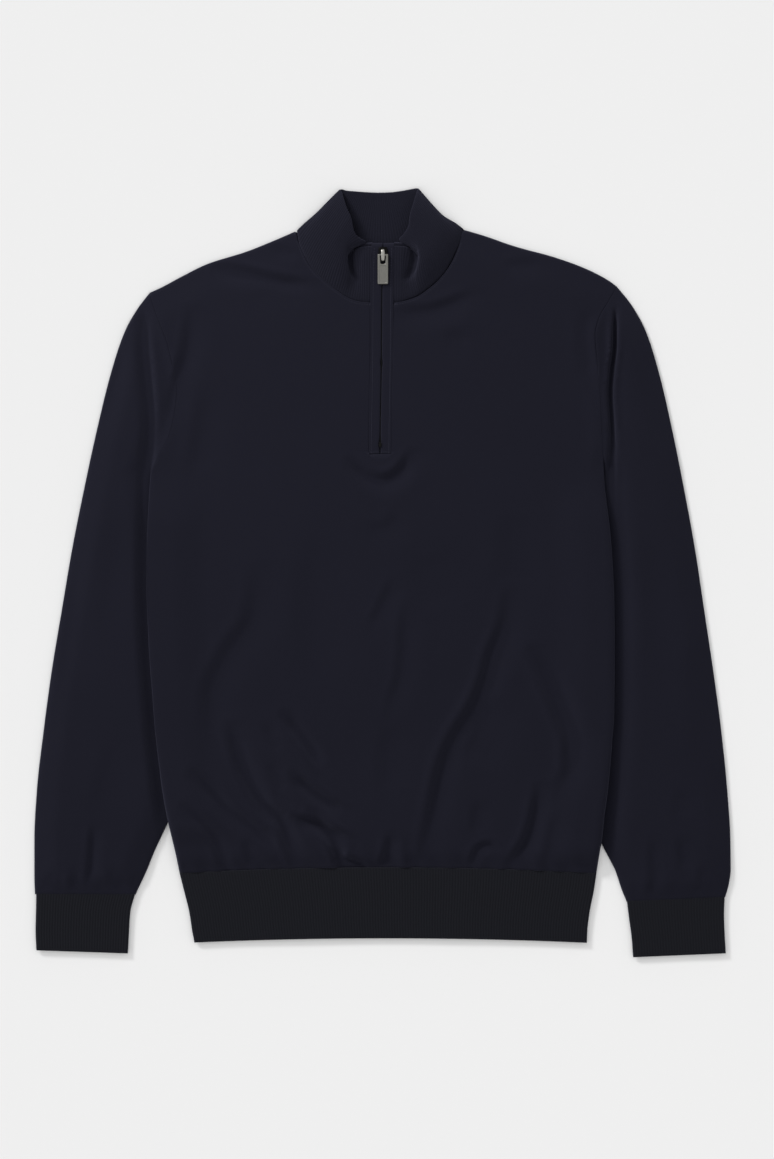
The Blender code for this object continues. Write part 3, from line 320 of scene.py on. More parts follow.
SLEEVE_FOLDS = {
    LEFT: [(2.6, 3, [(-284.5, -250), (-286, -272), (-287, -288), (-290.5, -308)]),
           (1.2, 4, [(-325, -294), (-325.5, -312)]), (1.3, 4, [(-303, -292), (-303.5, -314)]),
           (1.2, 4, [(-265, -292), (-264.5, -314)]), (0.8, 9, [(-262, -170), (-276, -232)]),
           (1.2, 10, [(-262, 236), (-270, 180), (-282, 132)]),
           (1.0, 12, [(-252, 60), (-262, 0), (-272, -60)]),
           (0.9, 8, [(-300, 20), (-306, -60), (-312, -120)])],
    RIGHT: [(1.7, 4, [(266, -262), (267, -296), (267, -318)]), (1.6, 4, [(293, -262), (297, -292)]),
            (1.4, 4, [(315, -288), (315.5, -316)]), (1.1, 6, [(293, -215), (294, -240)]),
            (1.2, 10, [(256, 226), (266, 170), (276, 110)]),
            (1.1, 12, [(262, 40), (270, -30), (276, -90)]),
            (1.0, 9, [(306, -60), (312, -130), (316, -190)])],
}


# ------------------------------------------------------------ heights
LIFT = 3.5  # how far the body's underside rises to lie over the sleeves' inner margins
LIFT_INSET = (60.0, 24.0)  # in from the body's edge: where it starts to rise, and where it is up
LIFT_BELOW, LIFT_ABOVE = (-1, -57), (-27, -3)  # and the same from the underarm and from the apex
PRESSED = 2.15  # the front's least height over that underside
LAYERS, AIR = 2.9, 2.2  # its height as it lies: the layers, and the air between them
SIDE_SWELL, SHOULDER_SINK, HEM_SWELL, HEM_SINK = 0.6, 1.9, 2.5, 0.9  # where there is more air, or less
RIDGE = {LEFT: 1.1, RIGHT: 2.6}  # how much the cloth stands up along each armhole
RIDGE_WIDE = 8.0
RIDGE_ENDS = (264, 232)  # y
SPLIT_SEAM = (196, 222)  # y over which the armhole's seam changes from its lower to its upper look
WAVES_GROW = (150, -80)  # y


def lift(x, y):
    """The height of the body's underside."""
    total = 0.0
    for side in (LEFT, RIGHT):
        over = ease(*LIFT_INSET, side * (body_edge[side](y) - x))
        up = ease_at(UNDERARM[side], LIFT_BELOW, y)
        down = ease_at(APEX[side], LIFT_ABOVE, y)
        total = total + over * up * down
    return LIFT * total


def plain_front(x, y):
    """The upper side of the front without its folds."""
    air = AIR
    for side in (LEFT, RIGHT):
        underarm = UNDERARM[side]
        near_edge = ease(45, 0, side * (body_edge[side](y) - x))
        air = air + SIDE_SWELL * near_edge * ease_at(underarm, (70, -50), y)
        beside_seam = np.exp(-((x - armhole_x[side](y)) / RIDGE_WIDE) ** 2)
        beside_seam = beside_seam * ease(*RIDGE_ENDS, y) * ease_at(underarm, (-6, 26), y)
        air = air + RIDGE[side] * beside_seam
    edge = np.where(x < COLLAR_MIDDLE, shoulder[LEFT](x), shoulder[RIGHT](x))
    air = air - SHOULDER_SINK * ease(34, 0, edge - y)
    above = y - hem_y(x, 0)
    air = air + HEM_SWELL * ease(150, 40, above) * ease(0, 20, above) - HEM_SINK * ease(13, 0, above)
    return lift(x, y) + LAYERS + air


def front_top(x, y):
    """The upper side of the front, with its folds, soft waves and the gathers above the hem."""
    x, y = np.atleast_1d(np.asarray(x, float)), np.atleast_1d(np.asarray(y, float))
    waves = 0.5 * np.sin(x / 23 + 1.1 * np.sin(y / 61)) * np.sin(y / 37 + x / 83 + 1.3)
    waves = waves * ease(*WAVES_GROW, y)
    waves = waves + 0.2 * np.sin(x / 41 + y / 57) * np.sin(y / 43 - x / 71 + 1.3)
    above = y - hem_y(x, 0)
    gathers = 0.5 * np.sin(x / 3.4 + 1.4 * np.sin(x / 23) + above / 9) * ease(24, 2, above)
    top = plain_front(x, y) - creases(FOLDS + SHARED_FOLDS, x, y) + waves + gathers
    return np.maximum(top, lift(x, y) + PRESSED)


# ------------------------------------------------------------ meshes
def add_object(name, data):
    made = bpy.data.objects.new(name, data)
    bpy.context.scene.collection.objects.link(made)
    return made


def finish_mesh(name, points, faces, material, places=None, smooth=True):
    """An object from points in millimetres. places holds each point's position in the knit; without it
    that is where the point lies in plan."""
    points = np.asarray(points, float)
    places = points[:, :2] if places is None else places
    mesh = bpy.data.meshes.new(name)
    mesh.from_pydata((points * MM).tolist(), [], faces)
    mesh.validate()
    layer = mesh.uv_layers.new(name="UVMap")
    index = np.zeros(len(mesh.loops), np.int32)
    mesh.loops.foreach_get("vertex_index", index)
    layer.data.foreach_set("uv", (places * MM)[index].ravel())
    mesh.materials.append(material)
    mesh.polygons.foreach_set("use_smooth", [smooth] * len(mesh.polygons))
    return add_object(name, mesh)


def thicken(piece, thickness):
    """Gives a skin its wall, inwards."""
    solid = piece.modifiers.new("wall", "SOLIDIFY")
    solid.thickness = thickness * MM
    solid.offset = -1
    solid.use_rim = True
    return piece


def bands(rings, around, first=0):
    """The faces between a stack of rings, each of as many points, from the ring called first."""
    found = []
    for low in range(first * around, (first + rings - 1) * around, around):
        high = low + around
        for i in range(around):
            j = (i + 1) % around
            found.append((low + i, low + j, high + j, high + i))
    return found


def caps(rings, around):
    """The two ends of a stack of rings."""
    last = (rings - 1) * around
    return [tuple(reversed(range(around))), tuple(range(last, last + around))]


def plan_area(line):
    ahead = np.roll(line, -1, 0)
    return (line[:, 0] * ahead[:, 1] - ahead[:, 0] * line[:, 1]).sum() / 2


def inside(line, points):
    """Which points lie inside a closed line."""
    a, b = line, np.roll(line, -1, 0)
    x, y = points[:, :1], points[:, 1:]
    with np.errstate(divide="ignore", invalid="ignore"):
        cut = ((a[:, 1] > y) != (b[:, 1] > y)) & (
            x < a[:, 0] + (y - a[:, 1]) * (b[:, 0] - a[:, 0]) / (b[:, 1] - a[:, 1]))
    return cut.sum(1) % 2 == 1


FINE_INSETS = (0.45, 1.1, 2.0, 3.2)  # rings of points in from the edge of a sheet that shows
GUIDE_ROWS = (-3.9, -2.6, -1.3, 0, 1.3, 2.6, 3.9)  # and rows of points beside a guide line


def plan_sheet(outline, spacing, insets, guides=()):
    """Points and faces of a triangulated sheet in plan: its outline first, then points inside it, with
    closer rows along the guide lines."""
    line = outline if plan_area(outline) > 0 else outline[::-1]
    inward = left_of(np.roll(line, -1, 0) - np.roll(line, 1, 0))
    low, high = line.min(0), line.max(0)
    rows = np.arange(low[1], high[1], spacing * 0.866)
    columns = np.arange(low[0], high[0], spacing)
    shift = np.where(np.arange(len(rows)) % 2, spacing / 2, 0)
    grid = np.stack([(columns + shift[:, None]).ravel(), np.repeat(rows, len(columns))], 1)
    sets = [(line + inward * inset, inset * 0.93) for inset in insets]
    for guide in guides:
        path = run(guide, 2.2)
        across = left_of(np.gradient(path, axis=0))
        sets.append((np.concatenate([path + across * row for row in GUIDE_ROWS]), insets[-1] + 1.2))
        grid = grid[to_segments(grid, path)[0] > GUIDE_ROWS[-1] + spacing * 0.5]
    sets.append((grid, insets[-1] + spacing * 0.45))
    kept = [outline]
    for spots, clear in sets:
        spots = spots[inside(line, spots)]
        kept.append(spots[to_segments(spots, line, closed=True)[0] >= clear])
    loop = list(range(len(outline)))
    if plan_area(outline) < 0:
        loop.reverse()
    spots = [Vector(p) for p in np.concatenate(kept)]
    found, _, faces, _, _, _ = delaunay_2d_cdt(spots, [], [loop], 1, 1e-5)
    return np.array([tuple(p) for p in found]), [tuple(f) for f in faces]


def edge_heights(plan, outline, kinds, top):
    """Rolls a sheet's top down at its folded edges and dips it at its seams. kinds holds what kind_rows
    gives for each point of the outline."""
    distance, which, share = to_segments(plan, outline, closed=True)
    first, second = kinds[which], kinds[(which + 1) % len(kinds)]
    mixed = first + (second - first) * share[:, None]
    level, dip, width, folded = mixed.T
    edge = np.where(folded > 0.5, level, top - dip)
    return edge + (top - edge) * bulge(distance / width)


# ------------------------------------------------------------ materials
def fill(tree, node, inputs):
    """Gives a node's inputs, by name or number, a value or a link from another node."""
    for key, value in inputs.items():
        if isinstance(value, bpy.types.NodeSocket):
            tree.links.new(value, node.inputs[key])
        else:
            node.inputs[key].default_value = value


def add_node(tree, kind, inputs, **settings):
    """The outputs of a new node."""
    node = tree.nodes.new("ShaderNode" + kind)
    for name, value in settings.items():
        setattr(node, name, value)
    fill(tree, node, inputs)
    return node.outputs


MIX_SHARE, MIX_A, MIX_B, MIX_COLOUR = 0, 6, 7, 2  # the Mix node's sockets for colours


def mixed_colour(tree, share, dark, light):
    inputs = {MIX_SHARE: share, MIX_A: dark, MIX_B: light}
    return add_node(tree, "Mix", inputs, data_type="RGBA")[MIX_COLOUR]


def noise(tree, vector, scale, detail=3.0):
    return add_node(tree, "TexNoise", {"Scale": scale, "Detail": detail, "Vector": vector})["Fac"]


def relief_of(tree, height, strength, depth):
    inputs = {"Strength": strength, "Distance": depth * MM, "Height": height}
    return add_node(tree, "Bump", inputs)[0]


def tone(colour, share=1.0):
    return (*(c * share for c in colour[:3]), 1)


def new_material(name):
    made = bpy.data.materials.new(name)
    made.use_nodes = True
    return made, made.node_tree, made.node_tree.nodes["Principled BSDF"]


WANDER, SLANT, LEG_ROUND, FUZZ = 0.6, 1.3, 12.0, 0.7  # of the stitches' columns, legs and fibres
STITCH_TINT, CLOUDS = 0.7, 0.35  # how much the colour varies by stitch, and slowly


def knit(name, colour, wale, course, relief, sheen=0.13):
    """Knitted wool: columns of small V stitches along the cloth's v, wale and course in millimetres."""
    made, tree, shader = new_material(name)

    def calc(operation, *values):
        return add_node(tree, "Math", dict(enumerate(values)), operation=operation)[0]

    place = add_node(tree, "UVMap", {}, uv_map="UVMap")[0]
    split = add_node(tree, "SeparateXYZ", {0: place})
    across = calc("MULTIPLY", split["X"], 1000 / wale)
    across = calc("ADD", across, calc("MULTIPLY", noise(tree, place, 60.0), WANDER))
    leg = calc("ABSOLUTE", calc("SUBTRACT", calc("FRACT", across), 0.5))
    up = calc("MULTIPLY", split["Y"], 1000 / course)
    up = calc("ADD", up, calc("MULTIPLY", leg, SLANT))
    loop = calc("SINE", calc("MULTIPLY", calc("FRACT", up), math.pi))
    middle = calc("SUBTRACT", leg, 0.25)
    round_leg = calc("SUBTRACT", 1.0, calc("MULTIPLY", calc("MULTIPLY", middle, middle), LEG_ROUND))
    fibres = calc("MULTIPLY", noise(tree, place, 2600.0, 4.0), FUZZ)
    height = calc("ADD", calc("MULTIPLY", loop, round_leg), fibres)
    dark, light = tone(colour, 0.84), tone(colour, 1.14)
    stitched = mixed_colour(tree, calc("MULTIPLY", height, STITCH_TINT), dark, light)
    cloudy = mixed_colour(tree, noise(tree, place, 9.0), tone(dark, 0.95), tone(light, 1.05))
    fill(tree, shader, {
        "Base Color": mixed_colour(tree, CLOUDS, stitched, cloudy),
        "Normal": relief_of(tree, height, relief, 0.25),
        "Roughness": 0.95,
        "Specular IOR Level": 0.08,
        "Sheen Weight": sheen,
        "Sheen Roughness": 0.62,
        "Sheen Tint": (0.37, 0.375, 0.56, 1),
    })
    return made


def metal(name, dark, light, roughness, scale):
    """Metal with a fine grain along y."""
    made, tree, shader = new_material(name)
    where = add_node(tree, "TexCoord", {})["Object"]
    stretched = add_node(tree, "Mapping", {"Vector": where, "Scale": (1.0, 0.12, 1.0)})[0]
    grain = noise(tree, stretched, scale)
    fill(tree, shader, {
        "Base Color": mixed_colour(tree, grain, tone(dark), tone(light)),
        "Normal": relief_of(tree, grain, 0.15, 0.05),
        "Roughness": roughness,
        "Metallic": 1.0,
    })
    return made


JERSEY = knit("jersey_knit", (0.0037, 0.0037, 0.0076), 1.1, 0.85, 0.5)
RIB = knit("rib_knit", (0.0035, 0.0038, 0.0045), 1.25, 0.9, 0.45)
COLLAR_RIB = knit("collar_knit", (0.0037, 0.0037, 0.0073), 1.1, 0.85, 0.45)
TAPE = knit("woven_tape", (0.0075, 0.0078, 0.0120), 0.7, 0.7, 0.35, 0.1)
THREAD = knit("linking_thread", (0.0190, 0.0195, 0.0290), 0.5, 0.5, 0.4)
STEEL = metal("brushed_metal", (0.14, 0.138, 0.128), (0.22, 0.217, 0.20), 0.38, 2600.0)
# painted highlight: the bail's metal is the tab's metal painted much lighter, standing for a highlight
# on the bail
PAINTED_HIGHLIGHT_METAL = metal("metal_painted_highlight", (0.27, 0.265, 0.245), (0.40, 0.395, 0.37), 0.3, 2600.0)
# painted shade: the slider's plate and post are the same metal painted near black, standing for the
# shade around the bail
PAINTED_SHADE_METAL = metal("metal_painted_shade", (0.004, 0.004, 0.004), (0.010, 0.010, 0.010), 0.42, 2000.0)
# painted shade: the teeth and the bottom stop are painted near black, standing for the shade in the
# zip's gap
PAINTED_SHADE_TEETH = metal("tooth_metal_painted_shade", (0.008, 0.008, 0.008), (0.018, 0.018, 0.017), 0.5, 1800.0)


def place_piece(piece, node=None, body="garment"):
    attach(piece, body)
    if node:
        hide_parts(node)
    return piece


# ------------------------------------------------------------ front and back
FOLD_LEVEL, FOLD_ROLL = 1.6, 3.6  # height and rounding of the folded edges
SIDE = {LEFT: (5.1, 6.0), RIGHT: (3.2, 8.0)}  # and of the body's sides, which stand over the sleeves
SIDE_TOP, SIDE_END = (105, 85), (-290, -262)  # y over which those sides start and end
UNDERARM_LEVEL, UNDERARM_REACH = 5.0, (60, 103)  # their height at the top, and y over which it comes
SEAM_DIP, SEAM_ROLL = 0.4, 1.0  # how far a seam's edge sinks, and its rounding
HEM_DIP, HEM_ROLL = 2.1, 2.3
SLIT_DIP, NECK_DIP = {LEFT: 0.5, RIGHT: 0.05}, 0.15
SLIT_TO_NECK = (256, 264)  # y
TUCK = 0.3  # how far an edge reaches under its neighbour's
FRONT_STEP, BACK_STEP = 3.2, 4.5  # between the points of an outline


def kind_rows(points, folded, dip=SEAM_DIP, roll=SEAM_ROLL):
    """What each point of an outline is: (height, dip, rounding, 1 where it is a fold)."""
    if not folded:
        return np.tile((0.0, dip, roll, 0.0), (len(points), 1))
    rows = np.tile((0.0, 0.0, FOLD_ROLL, 1.0), (len(points), 1))
    y = points[:, 1]
    beside = ease(*SIDE_TOP, y) * ease(*SIDE_END, y)
    level, width = SIDE[LEFT if points[0, 0] < 0 else RIGHT]
    rows[:, 0] = lift(*points.T) + FOLD_LEVEL + (level - FOLD_LEVEL) * beside
    rows[:, 2] += (width - FOLD_ROLL) * beside
    rows[:, 0] += (UNDERARM_LEVEL - rows[:, 0]) * ease(*UNDERARM_REACH, y) * (y < SIDE_TOP[0])
    return rows


def body_outline(neck_left, neck_right, spacing):
    """The outline of a body panel and what each of its points is: seam or fold."""
    halves = []
    for side, neck in ((LEFT, neck_left), (RIGHT, neck_right)):
        end_y, end_x = BODY_EDGE[side][-1]
        corner_y = hem_y(end_x, 0)
        ys = np.arange(UNDERARM[side], end_y, -spacing)
        ys = np.append(ys[ys > corner_y + spacing * 0.5], corner_y)
        edge = np.stack([body_edge[side](ys), ys], 1)
        top, arm = run(SHOULDER[side], spacing), run(ARMHOLE[side], spacing)[1:-1]
        arm_kinds = kind_rows(arm, False)
        arm_kinds[:, 1] = 0.1 + (side == RIGHT) * 0.8 * ease(*SPLIT_SEAM, arm[:, 1])
        neck_kinds = kind_rows(neck, False)
        slit = SLIT_DIP[side]
        neck_kinds[:, 1] = slit + (NECK_DIP - slit) * ease(*SLIT_TO_NECK, neck[:, 1])
        halves.append(np.concatenate([neck, top, arm, edge]))
        halves.append(np.concatenate([neck_kinds, kind_rows(top, True), arm_kinds,
                                      kind_rows(edge, True)]))
    left, left_kinds, right, right_kinds = halves
    xs = np.linspace(left[-1, 0], right[-1, 0], int((right[-1, 0] - left[-1, 0]) / spacing))[1:-1]
    hem = np.stack([xs, hem_y(xs, 0)], 1)
    outline = np.concatenate([left, hem, right[::-1]])
    kinds = np.concatenate([left_kinds, kind_rows(hem, False, HEM_DIP, HEM_ROLL), right_kinds[::-1]])
    apart = np.hypot(*(outline - np.roll(outline, 1, 0)).T) > 0.3
    return outline[apart], kinds[apart]


ZIP_TOP, ZIP_END = 321.0, 117.4
ROLL_TOP = 324.6  # where the facings end behind the rolled rim
FACING_REACH = 11.3  # from the zip's middle to a facing's outer edge
NECK_CENTRE = np.array((COLLAR_MIDDLE, 345.0))


def front_cloth():
    necks = []
    for side in (LEFT, RIGHT):
        ys = np.arange(ZIP_END - 0.2, 262, FRONT_STEP)
        slit = np.stack([zip_x(ys) + side * (FACING_REACH - TUCK), ys], 1)
        seam = run(NECK[side], FRONT_STEP)[:-1]
        inward = NECK_CENTRE - seam
        seam = seam + inward / np.hypot(*inward.T)[:, None] * 3 * TUCK
        necks.append(np.concatenate([slit, seam]))
    outline, kinds = body_outline(*necks, FRONT_STEP)
    plan, faces = plan_sheet(outline, 2.9, FINE_INSETS)
    top = front_top(*plan.T)
    z = np.maximum(edge_heights(plan, outline, kinds, top), lift(*plan.T) + FOLD_LEVEL)
    piece = finish_mesh("front_cloth", np.column_stack([plan, z]), faces, JERSEY)
    place_piece(thicken(piece, SKIN), "front_body")


BACK_NECK = [(3.4, 319.6), (28, 321), (45, 324), (66, 330.6), (78, 335.2)]  # out from its middle, y
BACK_DIP = -0.4  # an underside rises at its seams by this share of what the upper side sinks


def back_cloth():
    necks = []
    for side in (LEFT, RIGHT):
        line = run(BACK_NECK, BACK_STEP)
        necks.append(np.stack([COLLAR_MIDDLE + side * line[:, 0], line[:, 1] - 0.5], 1))
    outline, kinds = body_outline(*necks, BACK_STEP)
    plan, faces = plan_sheet(outline, 9.0, (0.5, 1.4, 3.0))
    z = edge_heights(plan, outline, kinds * (1, BACK_DIP, 1, 1), lift(*plan.T))
    faces = [face[::-1] for face in faces]
    piece = finish_mesh("back_cloth", np.column_stack([plan, z]), faces, JERSEY)
    place_piece(thicken(piece, SKIN), "back_body")


# ------------------------------------------------------------ sleeves
VALLEY_REACH = {  # outwards above and below the underarm, inwards
    LEFT: (13, 14, 9), RIGHT: (4.8, 30, 4.2)}
BESIDE_REACH = {LEFT: (14, 1), RIGHT: (21, 3)}  # how far out the sleeve lies low beside the body
BESIDE_LEVEL, LEAST_SLEEVE = 2.15, 2.1  # its height there, and the least in a fold
VALLEY_TOP = (264, 238)  # y
TRENCH_SHAPE = {LEFT: (-1, 0), RIGHT: (0, 0.28)}  # the lean and the ridge of the crease
CUFF_SEAM_Y = {LEFT: -316.4, RIGHT: -321.2}
CUFF_DIP, CUFF_ROLL = 1.0, 2.2
SHOULDER_SEAM = (1.5, 0.8)  # how much more the left armhole's seam dips and is rounded near its top
PUFF, FLAT_SLEEVE = 5.0, 3.0  # a sleeve's middle stands up by this over its height at the cuff


def inner_x(side, y):
    """X of a sleeve's inner fold; above the underarm, of the armhole."""
    under = body_edge[side](y) - side * sleeve_under[side](y)
    x = np.where(y < APEX[side], sleeve_inner[side](y), under)
    return np.where(y > UNDERARM[side], armhole_x[side](y), x)


def valley(side, x, y):
    """1 in the crease between sleeve and body, fading to 0 away from it."""
    underarm = UNDERARM[side]
    line = valley_x[side](y)
    line = line + (body_edge[side](y) - line) * ease_at(underarm, (24, -2), y)
    out = side * (x - line)
    above, below, inner = VALLEY_REACH[side]
    outside = ease(above + (below - above) * ease_at(underarm, (36, -16), y), 0, out)
    within = np.maximum(ease(inner, 0, -out), ease_at(underarm, (20, -2), y))
    return ease(*VALLEY_TOP, y) * np.where(out >= 0, outside, within)


def sleeve_upper(side, x, y):
    """The upper side of a sleeve."""
    underarm, apex = UNDERARM[side], APEX[side]
    from_outer = side * (sleeve_outer[side](y) - x)
    from_inner = side * (x - inner_x(side, y))
    above_cuff = y - CUFF_SEAM_Y[side]
    puff = PUFF * ease(-5, 26, from_outer) * ease(-6, 30, from_inner)
    puff = puff - creases(SLEEVE_FOLDS[side], x, y)
    waves = 0.45 * np.sin(y / 37 + x / 19) * np.sin(y / 23 - x / 41)
    gathers = 0.6 * np.sin(x / 2.9 + 1.2 * np.sin(x / 13)) * ease(26, 2, above_cuff)
    puff = np.maximum(0, puff + waves + gathers) * (1 - valley(side, x, y)) * ease(-3, 20, above_cuff)
    height = FLAT_SLEEVE + puff
    height = height + 0.7 * ease(12, 0, above_cuff)
    at_seam = ease(16, 0, from_inner) * ease_at(underarm, (-4, 12), y)
    height = height + (np.maximum(plain_front(x, y), height) - height) * at_seam
    out = side * (x - body_edge[side](y))
    beside = ease(*BESIDE_REACH[side], out) * ease_at(underarm, (10, -26), y)
    beside = beside * ease_at(apex, (-40, 0), y)
    height = height + (BESIDE_LEVEL - height) * beside
    sunk = creases(TRENCH[side], x, y, *TRENCH_SHAPE[side])
    sunk = sunk * ease(-1, 4, np.where(y > underarm, from_inner, 9))
    shared = np.maximum(0, creases(SHARED_FOLDS, x, y)) * ease(24, 12, from_inner)
    sunk = np.where(sunk < 0, sunk + shared, np.maximum(sunk, shared))
    return np.maximum(height - sunk, np.minimum(height, LEAST_SLEEVE))


def sleeve_cloth(side, name, node):
    seam = run(ARMHOLE[side], 3.0) - (side * TUCK, 0)
    outer_end, inner_end = SLEEVE_END[side]
    ys = np.linspace(seam[-1, 1], inner_end, 150)[1:]
    inner = np.stack([inner_x(side, ys - 1e-6), ys], 1)
    corner = np.array([float(sleeve_outer[side](outer_end)), outer_end])
    cuff_line = inner[-1] + (corner - inner[-1]) * np.linspace(0, 1, 34)[1:, None]
    ys = np.linspace(outer_end, seam[0, 1], 190)[1:-1]
    outer = np.stack([sleeve_outer[side](ys), ys], 1)
    chain = [(seam, False), (inner, True), (cuff_line, False), (outer, True)]
    outline = np.concatenate([part for part, _ in chain])
    kinds = [kind_rows(part, folded) for part, folded in chain]
    deeper = (side == LEFT) * ease(*SPLIT_SEAM, seam[:, 1])[:, None] * SHOULDER_SEAM
    kinds[0][:, 1:3] += deeper - (0.3, 0)
    kinds[2][:, 1:3] = CUFF_DIP, CUFF_ROLL
    kinds = np.concatenate(kinds)
    kinds[:, 0] = FOLD_LEVEL - 0.1

    upper, faces = plan_sheet(outline, 3.1, FINE_INSETS, [TRENCH[side][0][2]])
    upper_z = edge_heights(upper, outline, kinds, sleeve_upper(side, *upper.T))
    under, under_faces = plan_sheet(outline, 11.0, (0.5, 1.6, 3.5))
    under_z = edge_heights(under, outline, kinds * (1, BACK_DIP, 1, 1), np.zeros(len(under)))
    # both sheets share the points of the folds, and are apart at the seams
    rim = np.arange(len(outline))
    fold_start, fold_end = len(seam) - 1, len(seam) + len(inner) - 1
    folds = ((rim >= fold_start) & (rim <= fold_end)) | (rim >= fold_end + len(cuff_line)) | (rim == 0)
    index = np.arange(len(under)) + len(upper)
    index[:len(rim)][folds] = rim[folds]
    faces += [tuple(int(index[i]) for i in face[::-1]) for face in under_faces]
    x, y = np.concatenate([upper, under]).T
    points = np.stack([x, y, np.concatenate([upper_z, under_z])], 1)
    middle = (sleeve_outer[side](y) + inner_x(side, np.minimum(y, 99))) / 2
    places = np.stack([x - middle, y], 1)
    used = sorted({i for face in faces for i in face})
    new = {old: i for i, old in enumerate(used)}
    faces = [tuple(new[i] for i in face) for face in faces]
    piece = finish_mesh(name, points[used], faces, JERSEY, places[used])
    place_piece(thicken(piece, SKIN), node)


# ------------------------------------------------------------ ribbed tubes
RIB_PITCH, RIB_RELIEF = 2.8, 0.4
CUFF_HEIGHT, HEM_HEIGHT = 4.0, 4.1
CUFF = {
    # share of the way down, x of the left edge, x of the right edge
    LEFT: [(0, -340.9, -243.6), (0.3, -341.2, -248.3), (0.65, -341.6, -249.6), (1, -340.8, -250.7)],
    RIGHT: [(0, 240.6, 336.8), (0.3, 242.6, 336.2), (0.65, 245.2, 336.8), (1, 246.7, 338)],
}
CUFF_ENDS = {
    # y of the seam at the left and right edges, y of the free end at the left and right edges
    LEFT: (-315.7, -316.1, -371.4, -374.7),
    RIGHT: (-323.0, -318.5, -378.5, -374.4),
}
HEM = [
    # share of the way down, x of the left edge, x of the right edge
    (0, -199.7, 210.6), (0.25, -195.5, 208.0), (0.55, -190.4, 204.0), (0.85, -187.2, 201.5),
    (1, -185.2, 201.2),
]
TUBE_STEPS = np.unique(np.concatenate([  # shares of the way down
    [-0.008, 0, 0.012, 0.025], np.linspace(0.045, 0.95, 12), 1 - np.array([0, 0.006, 0.014, 0.028])]))
SEAM_SINK, SEAM_ROUND = 0.45, 1.4  # how far a tube sinks at its seam, and its rounding there
FREE_SINK, FREE_ROUND = 0.75, 1.5  # and at its free end
TUBE_ROUND = 2.2  # rounding of its folded edges


def ribs(phase):
    """The depth of the groove beside rounded ribs, at a count of ribs."""
    return 1 - np.abs(np.cos(math.pi * phase)) ** 0.8


def rib_tube(name, node, edges, y_at, height, length, waves):
    """A flat ribbed tube, its ribs running along its length; it is open at both ends."""
    shares, lefts, rights = np.array(edges, float).T
    count = round((rights[0] - lefts[0]) / RIB_PITCH)
    across = np.linspace(0, 1, 6 * count + 1)
    back = np.linspace(1, 0, max(6, count // 2))[1:-1]
    rows = []
    for share in TUBE_STEPS:
        left, right = through(shares, lefts, share), through(shares, rights, share)
        width = right - left
        near = np.minimum(across, 1 - across) * width
        ends = bulge(near / TUBE_ROUND)
        end_dip = (SEAM_SINK * (1 - bulge((share - TUBE_STEPS[0]) * length / SEAM_ROUND))
                   + FREE_SINK * (1 - bulge((1 - share) * length / FREE_ROUND)))
        soft = waves * np.sin(across * width / 23 + share * 3) * ease(0, 30, near)
        top = height - 0.25 + soft - end_dip - RIB_RELIEF * ribs(across * count) * (0.35 + 0.65 * ends)
        x, z = left + across * width, height / 2 + (top - height / 2) * ends
        back_x = left + back * width
        back_ends = bulge(np.minimum(back, 1 - back) * width / TUBE_ROUND)
        back_z = height / 2 * (1 - back_ends) + 0.3 * end_dip
        rows.append(np.concatenate([np.stack([x, y_at(x, share), z], 1),
                                    np.stack([back_x, y_at(back_x, share), back_z], 1)]))
    around = len(rows[0])
    reach = np.hypot(*np.diff(rows[5][:, ::2], axis=0).T)
    u = np.tile(np.concatenate([[0], np.cumsum(reach)]), len(rows))
    v = np.repeat(TUBE_STEPS * length, around)
    faces = [face[::-1] for face in bands(len(rows), around)]
    piece = finish_mesh(name, np.concatenate(rows), faces, RIB, np.stack([u, v], 1))
    place_piece(thicken(piece, RIB_SKIN), node)


def cuff_y(side, x, share):
    _, low, high = CUFF[side][0]
    seam_left, seam_right, end_left, end_right = CUFF_ENDS[side]
    across = (x - low) / (high - low)
    seam = seam_left + (seam_right - seam_left) * across
    end = end_left + (end_right - end_left) * across
    return seam + (end - seam) * share


def hem_and_cuffs():
    rib_tube("hem_rib", "hem_band", HEM, hem_y, HEM_HEIGHT, 70.0, 0.12)
    for side, word in SIDES:
        rib_tube(f"cuff_{word}_rib", f"cuff_{word}", CUFF[side], partial(cuff_y, side), CUFF_HEIGHT,
                 55.0, 0.1)


# ------------------------------------------------------------ collar
COLLAR_HEIGHTS = (0, 0.3, 0.6, 0.85, 1.0)  # shares of the way from the neck seam to the rim
COLLAR_LEVELS = [
    # z at COLLAR_HEIGHTS; rows from the zip out, round the corner to the back
    (5.2, 6.0, 6.7, 7.1, 6.8), (5.2, 5.9, 6.5, 6.8, 6.4), (5.1, 5.7, 5.9, 5.9, 5.6),
    (5.0, 5.2, 4.0, 3.4, 3.3), (4.9, 6.2, 6.6, 6.3, 4.6), (4.8, 8, 9, 8.8, 7.2),
    (4.8, 8.9, 10.4, 10.6, 10.0), (4.8, 9, 10.9, 11, 11.0), (4.8, 9, 11, 11, 11.2),
    (4.7, 8.6, 10.4, 10.2, 10.2), (4.6, 7.9, 9.2, 8.6, 8.4), (4.2, 6.4, 7, 6.6, 5.6),
    (2.6, 3.2, 3.3, 3.2, 3.0), (0.9, 0.9, 0.9, 0.9, 1.1),
]
